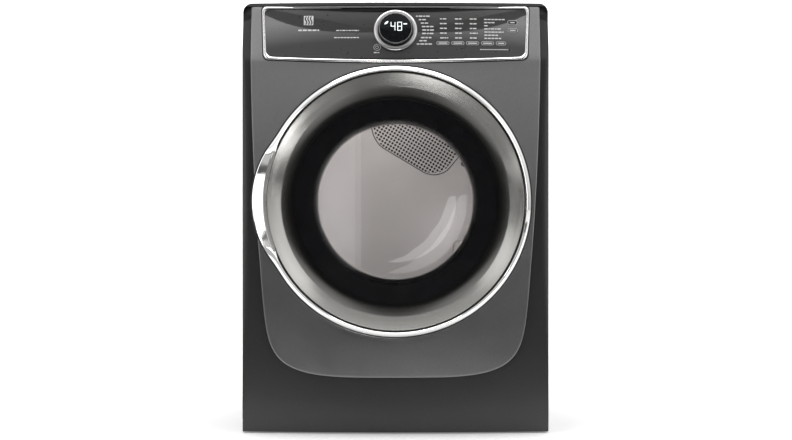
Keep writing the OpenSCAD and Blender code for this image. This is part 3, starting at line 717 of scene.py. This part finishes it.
def frame_between(outer, inner, section, surface):
    """A closed frame between two outlines on a surface, as (verts, faces). Its section is
    a list of (share of the way in, height)."""
    verts = []
    for (x0, z0), (x1, z1) in zip(outer, inner):
        for share, height in section:
            x, z = x0 + (x1 - x0) * share, z0 + (z1 - z0) * share
            verts.append((x, surface(x, z) - height, z))
    return verts, grid_faces(len(outer), len(section), wrap_rows=True, wrap_columns=True)


def build_trim():
    """Chrome frame round the console, with a crowned section."""
    section = [(0, -0.001)]
    section += [(0.5 - 0.5 * math.cos(a), 0.0014 + 0.0036 * math.sin(a))
                for a in spaced(0, math.pi, 12)]
    section.append((1, 0.0005))
    verts, faces = frame_between(trim_outline(), trim_outline(TRIM_W), section, face_y)
    obj = make_piece("console_frame", verts, faces, "chrome", paint=SATIN_TRIM, crease=50)
    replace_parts(obj, "console_trim")


def build_trim_shadow_line():
    """Thin black strip in the gap round the outside of the trim: a painted shadow line."""
    section = [(0, -0.001), (0, 0.0002), (1, 0.0006), (1, -0.001)]
    verts, faces = frame_between(trim_outline(-0.0022), trim_outline(0.0004), section, face_y)
    make_piece("console_shadow_line", verts, faces, "black_plastic")


def build_fascia():
    """Glossy console face, as a fine sheet inside the trim."""
    outline = trim_outline(TRIM_W * 0.8)
    xs = [p[0] for p in outline]
    zs = [p[1] for p in outline]
    centre = ((min(xs) + max(xs)) / 2, (min(zs) + max(zs)) / 2)
    count = len(outline)
    verts = []
    shares = spaced(0.08, 1, 30)
    for share in shares:
        for x, z in outline:
            u = centre[0] + (x - centre[0]) * share
            v = centre[1] + (z - centre[1]) * share
            verts.append((u, face_y(u, v) - FASCIA_OUT, v))
    faces = grid_faces(len(shares), count, wrap_columns=True)
    faces.append(tuple(reversed(range(count))))
    obj = make_piece("console_face", verts, faces, "fascia", crease=None)
    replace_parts(obj, "console_fascia")


# ---------- door ----------


def rim_reach(angle):
    """Outer radius of the chrome rim, which swells into the handle lobe on the left."""
    across = LOBE_DX * math.cos(angle)
    under = across * across - LOBE_DX**2 + LOBE_R**2
    return smooth_max(RING_R, -across + math.sqrt(max(under, 0)), 0.005)


def build_rim():
    """Chrome rim: round the ring it is crowned, and at the lobe it is one wide flat bevel
    whose inner side carries the dish on up to the crest."""
    steps = 480
    verts = []
    columns = 0
    for i in range(steps):
        angle = 2 * math.pi * i / steps
        outer = rim_reach(angle)
        swell = smooth_step(0.001, 0.010, outer - RING_R)
        inner = RIM_INNER_R + (LOBE_INNER_R - RIM_INNER_R) * swell
        crest = RIM_Y + (LOBE_CREST_Y - RIM_Y) * swell
        off_left = abs(math.atan2(math.sin(angle), math.cos(angle)))
        lobe = smooth_step(math.pi - 0.42, math.pi - 0.36, off_left)
        back = RING_BACK_Y + (LOBE_BACK_Y - RING_BACK_Y) * lobe
        if math.cos(angle) > 0 and abs(math.sin(angle)) * RING_R < HINGE_NOTCH:
            back = HINGE_RELIEF_Y
        rise = 0.0012 + (LOBE_DISH_Y - LOBE_CREST_Y - 0.0012) * swell
        top = RIM_INNER_R + 0.0012 + 0.0026 * swell
        width = outer - 0.0010 - top
        steep = 0.40 - 0.10 * swell
        round_off = 0.42 * (1 - swell)
        row = [(outer - 0.0025, back), (outer - 0.0006, back), (outer, back - 0.0006)]
        rim_edge = crest + width * (steep + round_off)
        # a black lip out past the rim's edge: a painted shadow line round the rim
        row += [(outer, min(rim_edge + 0.0028, back - 0.0008)),
                (outer + EDGE_SHADOW_W, min(rim_edge + 0.0026, back - 0.0010)),
                (outer + EDGE_SHADOW_W, rim_edge + 0.0014), (outer, rim_edge + 0.0010),
                (outer - 0.0003, rim_edge + 0.0006)]
        for share in spaced(1, 0, 12):
            row.append((top + width * share,
                        crest + width * (steep * share + round_off * share**2)))
        for share in spaced(0, 1, 6)[1:]:
            row.append((top - (top - inner) * share, crest + rise * share**1.2))
        row.append((inner, max(crest + 0.012, LOBE_DISH_Y + 0.002)))
        row.append((outer - 0.0025, min(max(crest + 0.013, rim_edge + 0.002), back - 0.001)))
        columns = len(row)
        verts += [ray_point(r, angle, y) for r, y in row]
    faces = grid_faces(steps, columns, wrap_rows=True, wrap_columns=True)
    # rows of faces along the section: the lobe's brushed inner side, and the black lip that is a
    # painted shadow line round the rim
    inner_side = range(columns - 9, columns - 2)
    shadow_lip = range(3, 8)
    rim_marks = []
    for i in range(steps):
        on_lobe = rim_reach(2 * math.pi * (i + 0.5) / steps) - RING_R > 0.006
        rim_marks += [1 if on_lobe and j in inner_side else 2 if j in shadow_lip else 0
                      for j in range(columns)]
    obj = make_piece("door_rim", verts, faces, "chrome", "door",
                     extra=("brushed_ring", "black_plastic"), marks=rim_marks)
    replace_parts(obj, "door_ring")


def dish_y(r):
    """The dish rises gently to a crease, then steeply to its rim."""
    inner = min(max((r - GLASS_R) / (CREASE_R - GLASS_R), 0), 1)
    outer = max(r - CREASE_R, 0)
    return GLASS_Y - 0.001 - 0.0065 * inner**1.6 - outer * (0.62 + 1.8 * outer)


def build_dish():
    """Turned metal dish between the rim and the window, with a dark groove at its edge."""
    top_y = dish_y(DISH_EDGE_R)
    rising = spaced(GLASS_R, CREASE_R, 12) + spaced(CREASE_R + 0.0004, DISH_EDGE_R, 14)
    profile = [(0.2255, GLASS_Y - 0.0006)]
    profile += [(r, dish_y(r)) for r in rising]
    profile += [(0.2832, top_y + 0.0008), (0.2838, top_y + 0.003)]
    profile += [(0.2866, top_y + 0.003), (0.2868, top_y + 0.006)]
    profile += [(r, dish_y(r) + 0.003) for r in spaced(0.2800, 0.2300, 10)]
    profile += [(0.2300, -0.3445), (0.2278, -0.3445), (0.2278, GLASS_Y + 0.0015)]
    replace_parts(lathe("door_dish", profile, "brushed_ring", 320), "door_funnel")


def build_grille_shade_line():
    """Fine black line round the air grille in the drum's rear wall: painted shade for a pressed
    line.
    """
    outline = [(-0.066, 0.780), (-0.066, 0.728), (-0.060, 0.698), (-0.043, 0.670),
               (0.078, 0.5975), (0.092, 0.594), (0.104, 0.593), (0.122, 0.597),
               (0.137, 0.605), (0.171, 0.646), (0.171, 0.780)]
    width = 0.0024
    outer = rounded_profile(outline, 0.012)
    inner = [(x - n.x * width, z - n.y * width)
             for (x, z), n in zip(outer, outline_normals(outer))]
    section = [(0, -0.0002), (0, 0.0004), (1, 0.0004), (1, -0.0002)]
    verts, faces = frame_between(outer, inner, section, lambda x, z: DRUM_BACK_Y)
    make_piece("grille_shade_line", verts, faces, "black_plastic", crease=None)


def build_window():
    """Slightly domed window pane."""
    front = [(r, GLASS_Y + 0.001 - 0.0016 * (1 - (r / GLASS_R) ** 2))
             for r in spaced(0, GLASS_R - 0.0030, 16) + [GLASS_R - 0.0012]]
    profile = front + [(GLASS_R - 0.0004, GLASS_Y + 0.0014), (GLASS_R, GLASS_Y + 0.002),
                       (GLASS_R, GLASS_Y + 0.005), (0, GLASS_Y + 0.0046)]
    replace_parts(lathe("door_pane", profile, "window_glass", 200), "door_window")


def build_bowl():
    """Deep clear bowl behind the window."""
    outer = [(0.190, -0.3065), (0.178, -0.3062), (0.160, -0.3035), (0.146, -0.3008),
             (0.141, -0.2994), (0.136, -0.2977), (0.130, -0.2956), (0.125, -0.2939),
             (0.121, -0.2930), (0.115, -0.2926), (0.080, -0.2922), (0.0, -0.2920)]
    inner = [(max(r - 0.002, 0), y - 0.003) for r, y in reversed(outer)]
    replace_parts(lathe("door_bowl_glass", outer + inner, "bowl_glass", 200), "door_bowl")


# ---------- knob, display, keys and printed marks ----------


def turned_on_console(name, profile, slot, body="cabinet", paint=None):
    """Turns a profile of (radius, height) points round the knob's axis."""
    steps = 160
    place = on_console()
    verts = []
    for i in range(steps):
        a = 2 * math.pi * i / steps
        verts += [place(r * math.cos(a), r * math.sin(a), n) for r, n in profile]
    faces = grid_faces(steps, len(profile), wrap_rows=True, wrap_columns=True)
    return make_piece(name, verts, faces, slot, body, paint)


def build_knob():
    """Satin ring that turns, round a fixed black hub with the display disc and its edge."""
    section = [(0.0380, 0.0032), (0.0488, 0.0032), (0.0488, 0.0068), (0.0476, 0.0094),
               (0.0452, 0.0108), (0.0404, 0.0108), (0.0380, 0.0092)]
    knob = turned_on_console("selector_ring", rounded_profile(section, 0.0016), "chrome",
                             "selector", SATIN_RING)
    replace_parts(knob, "knob_ring")
    hub = [(0.0360, -0.002), (0.0376, -0.002), (0.0376, 0.0170), (0.0372, 0.0180),
           (0.0364, 0.0180), (0.0360, 0.0174)]
    turned_on_console("selector_hub", rounded_profile(hub, 0.0002), "black_plastic")
    lens = [(0.0, 0.0140), (0.0352, 0.0140), (0.0356, 0.0180), (0.0350, 0.0189),
            (0.0335, 0.0190), (0.0, 0.0190)]
    disc = turned_on_console("display_disc", lens, "display_glass")
    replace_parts(disc, "display_lens")
    edge = [(0.0357, 0.0172), (0.0368, 0.0176), (0.0368, 0.0188), (0.0360, 0.0191),
            (0.0353, 0.0190)]
    turned_on_console("display_edge", rounded_profile(edge, 0.0002), "key_cap")


def flat_bar(place, x0, y0, x1, y1, width, low, high):
    """A thin bar with round ends from one point to another, as (verts, faces)."""
    along = Vector((x1 - x0, y1 - y0))
    length = max(along.length, 1e-6)
    angle = math.atan2(along.y, along.x)
    centre = ((x0 + x1) / 2, (y0 + y1) / 2)
    outline = []
    for x, y in pill(length + width, width, steps=5):
        outline.append((centre[0] + x * math.cos(angle) - y * math.sin(angle),
                        centre[1] + x * math.sin(angle) + y * math.cos(angle)))
    count = len(outline)
    verts = [place(x, y, low) for x, y in outline] + [place(x, y, high) for x, y in outline]
    faces = grid_faces(2, count, wrap_columns=True)
    faces += [tuple(reversed(range(count))), tuple(range(count, 2 * count))]
    return verts, faces


def gather(parts):
    """Joins (verts, faces) lists into one."""
    verts, faces = [], []
    for more_verts, more_faces in parts:
        start = len(verts)
        verts += more_verts
        faces += [tuple(start + i for i in face) for face in more_faces]
    return verts, faces


def marks(name, parts, ink, slot="key_cap", body="cabinet"):
    """One piece from many small parts, in an ink."""
    verts, faces = gather(parts)
    make_piece(name, verts, faces, slot, body, ink, merge=FINE_MERGE)


def build_display():
    """Lit seven-segment digits with a leaf and a bar, on the display disc."""
    place = on_console()
    low, high = 0.0189, 0.0192
    segments = {"a": (0, 2, 1, 2), "b": (1, 1, 1, 2), "c": (1, 0, 1, 1), "d": (0, 0, 1, 0),
                "e": (0, 0, 0, 1), "f": (0, 1, 0, 2), "g": (0, 1, 1, 1)}
    digits = [("bcfg", -0.0100), ("abcdefg", 0.0048)]
    wide, tall, thick, gap = 0.0088, 0.0098, 0.0016, 0.0004
    parts = []
    for lit, left in digits:
        for key in lit:
            x0, y0, x1, y1 = segments[key]
            start = Vector((left + x0 * wide, 0.0040 + (y0 - 1) * tall))
            end = Vector((left + x1 * wide, 0.0040 + (y1 - 1) * tall))
            pull = (end - start).normalized() * gap
            start, end = start + pull, end - pull
            parts.append(flat_bar(place, start.x, start.y, end.x, end.y, thick, low, high))
    parts.append(flat_bar(place, 0.0186, 0.0098, 0.0246, 0.0098, 0.0028, low, high))
    for x, y, size in ((-0.0232, 0.0100, 0.0042), (-0.0208, 0.0130, 0.0034)):
        parts.append(flat_bar(place, x, y, x + size, y + size * 0.55, 0.0030, low, high))
    marks("display_digits", parts, LIT, "display_glass")


# Each key: body, x, z, width and height of its cap
KEYS = [("power_key", -0.041, 0.860, 0.016, 0.016),
        ("temperature_key", 0.106, 0.870, 0.029, 0.009),
        ("dryness_key", 0.1394, 0.870, 0.029, 0.009),
        ("time_key", 0.1724, 0.870, 0.029, 0.009),
        ("options_key", 0.206, 0.870, 0.029, 0.009),
        ("select_key", 0.2364, 0.870, 0.023, 0.009),
        ("start_key", 0.2644, 0.9185, 0.023, 0.012),
        ("pause_key", 0.2644, 0.9005, 0.023, 0.009)]


def build_keys():
    """Each key: a domed cap the colour of the console, a pale outline and a mark."""
    for body, x, z, width, height in KEYS:
        place = on_console(x, z)
        cap = slab(body + "_cap", pill(width, height, steps=14), -0.003, 0.0027, 0.0006,
                   "fascia", place, body)
        name = body.replace("_key", "")
        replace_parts(cap, "key_" + name)
        outer = pill(width - 0.0005, height - 0.0005, steps=14)
        inner = pill(width - 0.0022, height - 0.0022, steps=14)
        verts = [place(u, v, n) for ring in (outer, inner) for u, v in ring
                 for n in (MARK_LOW, MARK_HIGH)]
        count = len(outer)
        faces = []
        for i in range(count):
            j = (i + 1) % count
            a, b, c, d = 2 * i, 2 * j, 2 * (count + i), 2 * (count + j)
            faces += [(a, b, b + 1, a + 1), (c, d, d + 1, c + 1), (a + 1, b + 1, d + 1, c + 1),
                      (a, b, d, c)]
        parts = [(verts, faces)]
        if name == "power":
            arc = [(0.0034 * math.cos(a), 0.0034 * math.sin(a))
                   for a in (math.radians(t) for t in spaced(125, 415, 10))]
            for (x0, y0), (x1, y1) in zip(arc, arc[1:]):
                parts.append(flat_bar(place, x0, y0, x1, y1, 0.0008, MARK_LOW, MARK_HIGH))
            parts.append(flat_bar(place, 0, 0.001, 0, 0.0044, 0.0009, MARK_LOW, MARK_HIGH))
        else:
            half = width / 2 - height / 2 - 0.0012
            parts.append(flat_bar(place, -half, 0, half, 0, 0.0026, MARK_LOW, MARK_HIGH))
        marks(body + "_mark", parts, INK, body=body)


def text_bars(x0, x1, z, height, seed):
    """Short bars with gaps that stand for a line of lettering, as console parts."""
    place = over_face(FASCIA_OUT)
    parts = []
    x = x0
    step = 0
    while x < x1 - height:
        run = height * (1.6 + 1.5 * abs(math.sin(seed * 12.9 + step * 4.7)))
        end = min(x + run, x1)
        parts.append(flat_bar(place, x + height / 2, z, end - height / 2, z, height,
                              PRINT_LOW, PRINT_HIGH))
        x = end + height * 0.35
        step += 1
    return parts


def build_badge(x, z, size):
    """A generic badge: a pale square with three dark wavy lines."""
    place = over_face(FASCIA_OUT)
    half = size / 2
    square = [(x - half, z - half), (x + half, z - half), (x + half, z + half),
              (x - half, z + half)]
    slab("badge_plate", rounded_profile(square, 0.0012), PRINT_LOW, PRINT_HIGH, 0.00004,
         "fascia", place, paint=INK)
    parts = []
    for column in (-1, 0, 1):
        wave = [(x + column * size * 0.27 + size * 0.08 * math.sin(2 * math.pi * t),
                 z + size * 0.8 * (t - 0.5)) for t in spaced(0, 1, 12)]
        for (x0, z0), (x1, z1) in zip(wave, wave[1:]):
            parts.append(flat_bar(place, x0, z0, x1, z1, size * 0.12, 0.0001, 0.00030))
    marks("badge_waves", parts, MATERIALS["black_plastic"], "fascia")


def build_marks():
    """All the console's printed lines, as plain bars."""
    build_badge(-0.1945, 0.9236, 0.0215)
    parts = []
    cycle_z = [0.933 - 0.0080 * i for i in range(6)] + [0.8834, 0.8762, 0.8687]
    cycle_length = (0.033, 0.020, 0.019, 0.027, 0.028, 0.0285, 0.024, 0.020, 0.038)
    for i, (z, length) in enumerate(zip(cycle_z, cycle_length)):
        start = 0.0595 * math.sqrt(1 - ((z - 0.900) / 0.051) ** 2)
        parts += text_bars(start, start + length, z, 0.0030, i)
    for row in range(5):
        for column, start in enumerate((0.099, 0.1325, 0.1657)):
            parts += text_bars(start, start + 0.0185, 0.927 - 0.011 * row, 0.0028,
                               10 + row + column * 3)
    for row, length in enumerate((0.047, 0.026, 0.0105, 0.040, 0.044, 0.035, 0.038)):
        parts += text_bars(0.198, 0.198 + length, 0.9262 - 0.0073 * row, 0.0027, 30 + row)
    for line in ((0.188, 0.251, 0.8566, 0.0018, 41), (-0.0484, -0.0343, 0.8490, 0.0024, 42),
                 (-0.218, -0.170, 0.9010, 0.0036, 45), (-0.1327, -0.0814, 0.9001, 0.0024, 43),
                 (-0.1370, -0.0814, 0.8836, 0.0024, 44)):
        parts += text_bars(*line)
    marks("console_marks", parts, INK, "fascia")


build_shield()
build_border()
build_trim()
build_trim_shadow_line()
build_fascia()
build_rim()
build_dish()
build_grille_shade_line()
build_window()
build_bowl()
build_knob()
build_display()
build_keys()
build_marks()

# ---------- carried-over CAD nodes ----------

SLOT_OF = {entry["node"]: entry["material_slot"] for entry in frame["record"]["subparts"]}
for node_name, node in NODES.items():
    node.data.materials.clear()
    node.data.materials.append(MATERIALS[SLOT_OF[node_name]].material)
# The heater housing is painted near black over its own slot colour: painted shade.
HEATER_SHADE = finish("heater_shade", (0.012, 0.012, 0.013), 0.7, grain=0.003)
NODES["heater_housing"].data.materials[0] = HEATER_SHADE.material

# ---------- floor, light and camera ----------


def build_stage():
    """A pale floor that curves up into a backdrop."""
    rows = [(-6.0, 0.0), (3.0, 0.0)]
    for a in spaced(0, 90, 12):
        rows.append((3.0 + 2.0 * math.sin(math.radians(a)),
                     2.0 - 2.0 * math.cos(math.radians(a))))
    rows.append((5.0, 7.0))
    verts = [(x, y, z) for y, z in rows for x in (-9, 9)]
    floor = add_object("floor", verts, grid_faces(len(rows), 2))
    for face in floor.data.polygons:
        face.use_smooth = True
    made = finish("floor_paint", (0.93, 0.93, 0.93), 0.75, tint=0.005, relief=0.00001)
    made.set("Emission Color", (1.0, 1.0, 1.0))
    made.set("Emission Strength", 0.20)
    floor.data.materials.append(made.material)


def add_area(name, place, target, size, power, colour=(1, 1, 1)):
    """A rectangular lamp at place that points at target."""
    light = bpy.data.lights.new(name, "AREA")
    light.shape = "RECTANGLE"
    light.size, light.size_y = size
    light.energy = power
    light.color = colour
    obj = bpy.data.objects.new(name, light)
    bpy.context.scene.collection.objects.link(obj)
    obj.location = place
    aim = Vector(target) - Vector(place)
    obj.rotation_euler = aim.to_track_quat("-Z", "Y").to_euler()


def add_card(name, verts, faces, power, fade=None, only=(), colour=(0, 0, 0)):
    """A card that only reflections see. fade = (low Z, high Z) dims it towards its low edge.
    The pieces named in only mirror it and the rest see it black; without names all do."""
    card = add_object(name, verts, faces)
    made = finish(name + "_card", colour, 0.9, tint=0.01)
    made.set("Emission Color", (1.0, 1.0, 1.0))
    made.set("Emission Strength", power)
    if fade:
        height = made.add("SeparateXYZ", Vector=made.place).outputs["Z"]
        made.set("Emission Strength", made.spread(height, power * 0.12, power, at=fade))
    card.data.materials.append(made.material)
    card.visible_camera = False
    card.visible_diffuse = False
    card.visible_shadow = False
    card.visible_transmission = False
    if only:
        group = bpy.data.collections.new(name + "_mirrors")
        for piece in only:
            group.objects.link(bpy.data.objects[piece])
        card.light_linking.receiver_collection = group


def add_wall(name, xs, y, zs, power, only=()):
    """A glowing upright rectangle that faces the object."""
    verts = [(xs[0], y, zs[0]), (xs[1], y, zs[0]), (xs[1], y, zs[1]), (xs[0], y, zs[1])]
    add_card(name, verts, [(0, 1, 2, 3)], power, only=only)


def add_ground(name, xs, ys, z, power, **more):
    """A rectangle just over the floor."""
    verts = [(xs[0], ys[0], z), (xs[1], ys[0], z), (xs[1], ys[1], z), (xs[0], ys[1], z)]
    add_card(name, verts, [(0, 1, 2, 3)], power, **more)


def add_pane_card(name, outline, power):
    """A glowing shape that the window pane mirrors to the front; outline holds points of the
    pane in metres from its middle."""
    level = DOOR_Z + PANE_CARD_RISE
    verts = [(x * PANE_MIRROR, PANE_CARD_Y, level + z * PANE_MIRROR) for x, z in outline]
    add_card(name, verts, [tuple(range(len(verts)))], power, only=("door_pane",))


def arc_points(radius, start, end, steps=32):
    """Points round the middle of the pane."""
    return [(radius * math.cos(math.radians(a)), radius * math.sin(math.radians(a)))
            for a in spaced(start, end, steps)]


def add_dish_glint(degrees, size, power):
    """A glowing square that the dish's steep part mirrors to the front at one angle."""
    angle = math.radians(degrees)
    away = 0.70
    if math.sin(angle) > 0:
        away = min(away, (DOOR_Z - 0.07) / math.sin(angle))
    depth = 0.43 * (away + 0.265) / 0.965
    x = -away * math.cos(angle)
    z = DOOR_Z - away * math.sin(angle)
    half = size / 2
    add_wall("dish_glint_%d" % degrees, (x - half, x + half), -0.37 - depth,
             (z - half, z + half), power, only=DISH_PIECES)


def build_cards():
    """What the shiny faces reflect: a dark floor ahead, and bright shapes round the door."""
    add_ground("far_floor", (-3.5, 3.5), (-9.0, FLOOR_SPLIT_Y), FLOOR_CARD_Z, 0.0,
               colour=(0.02, 0.02, 0.02))
    add_ground("near_floor", (-3.5, 3.5), (FLOOR_SPLIT_Y, FLOOR_NEAR_Y), FLOOR_CARD_Z, 0.18)
    for side in (-1, 1):
        add_ground("dish_floor_%d" % (side + 2), (0.2 * side, 2.2 * side), (-2.4, FLOOR_NEAR_Y),
                   FLOOR_CARD_Z + 0.002, 0.45, only=DISH_PIECES)
        add_wall("dish_sky_%d" % (side + 2), (0.35 * side, 2.2 * side), -2.6, (1.1, 2.6), 0.52,
                 only=DISH_PIECES + ("front_shield", "console_frame", "selector_ring"))
    add_wall("front_sky", (-3.0, 3.0), -4.2, (1.25, 2.9), 0.62,
             only=("front_shield", "console_frame"))
    half = 0.802
    curve = [(x, 2.161 + 0.130 * abs(x / half) ** 3) for x in spaced(-0.95, 0.95, 76)]
    verts = [(x, -1.8, level) for x, z in curve for level in (1.95, z)]
    add_card("smile", verts, grid_faces(len(curve), 2), 4.4, (2.13, 2.24),
             only=("console_face", "console_frame", "selector_ring"))
    add_wall("lobe_panel", (-0.74, -0.44), -0.80, (0.39, 0.65), 1.5, only=("door_rim",))
    add_pane_card("pane_left", arc_points(0.174, 116, 244), 1.5)
    crescent = arc_points(0.134, 6, -96) + [(0.022, -0.119), (0.066, -0.086), (0.098, -0.042),
                                            (0.119, 0.010)]
    add_pane_card("pane_crescent", crescent, 4.4)
    add_pane_card("pane_crescent_edge",
                  arc_points(0.1345, -20, -96) + arc_points(0.1325, -96, -20), 4.0)
    for degrees, size, power in ((150, 0.20, 8.0), (75, 0.16, 5.0), (15, 0.12, 4.0),
                                 (225, 0.14, 3.0), (322, 0.14, 0.9)):
        add_dish_glint(degrees, size, power)


def build_world():
    """Studio air: white to the camera; dim in front of the object and bright at its sides."""
    world = bpy.data.worlds.new("studio")
    bpy.context.scene.world = world
    world.use_nodes = True
    air = Graph(world.node_tree)
    ray = air.add("SeparateXYZ", Vector=air.add("TexCoord").outputs["Generated"])
    ahead = air.spread(ray.outputs["Y"], 0.0, 1.0, at=(0.0, -1.0))
    levels = ((0.0, 1.0), (0.35, 0.75), (0.5, 0.45), (0.62, 0.28), (0.82, 0.07), (0.93, 0.02))
    sky = air.nodes["Background"]
    air.feed(sky.inputs["Color"], air.ramp(ahead, [(at, (grey,) * 3) for at, grey in levels]))
    air.feed(sky.inputs["Strength"], air.spread(ray.outputs["Z"], 0.30, 1.1, at=(-0.35, 0.5)))
    white = air.add("Background", Color=(1, 1, 1, 1))
    seen = air.add("LightPath").outputs["Is Camera Ray"]
    shown = air.blend(seen, sky.outputs[0], white.outputs[0])
    air.links.new(shown, air.nodes["World Output"].inputs["Surface"])


def build_lights():
    add_area("key_left", (-2.6, -2.2, 1.5), (0, -0.3, 0.5), (0.9, 2.4), 11)
    add_area("key_right", (2.6, -2.2, 1.5), (0, -0.3, 0.5), (0.9, 2.4), 10)
    add_area("overhead", (0, -0.4, 3.2), (0, 0.2, 0.4), (3.0, 1.6), 60)
    add_area("backdrop_glow", (0, 1.4, 2.6), (0, 4.5, 0.8), (4.0, 1.2), 160)
    add_area("drum_left", (-0.19, -0.17, 0.50), (0.02, 0.3, 0.47), (0.05, 0.22), 0.50)
    add_area("drum_right", (0.17, -0.17, 0.40), (0.08, 0.3, 0.42), (0.05, 0.16), 0.75)
    add_area("drum_glow", (0, -0.20, 0.78), (0, 0.2, 0.5), (0.22, 0.05), 1.1,
             (1.0, 0.985, 0.965))


def build_camera():
    data = bpy.data.cameras.new("camera")
    data.lens = 71.86
    data.sensor_width = 36
    data.shift_x = 0.0006
    data.shift_y = -0.0038
    camera = bpy.data.objects.new("camera", data)
    camera.location = (0, -3.85, 0.484)
    camera.rotation_euler = (math.pi / 2, 0, 0)
    bpy.context.scene.collection.objects.link(camera)
    bpy.context.scene.camera = camera


build_stage()
build_world()
build_lights()
build_cards()
build_camera()
bpy.context.scene.view_settings.view_transform = "Standard"
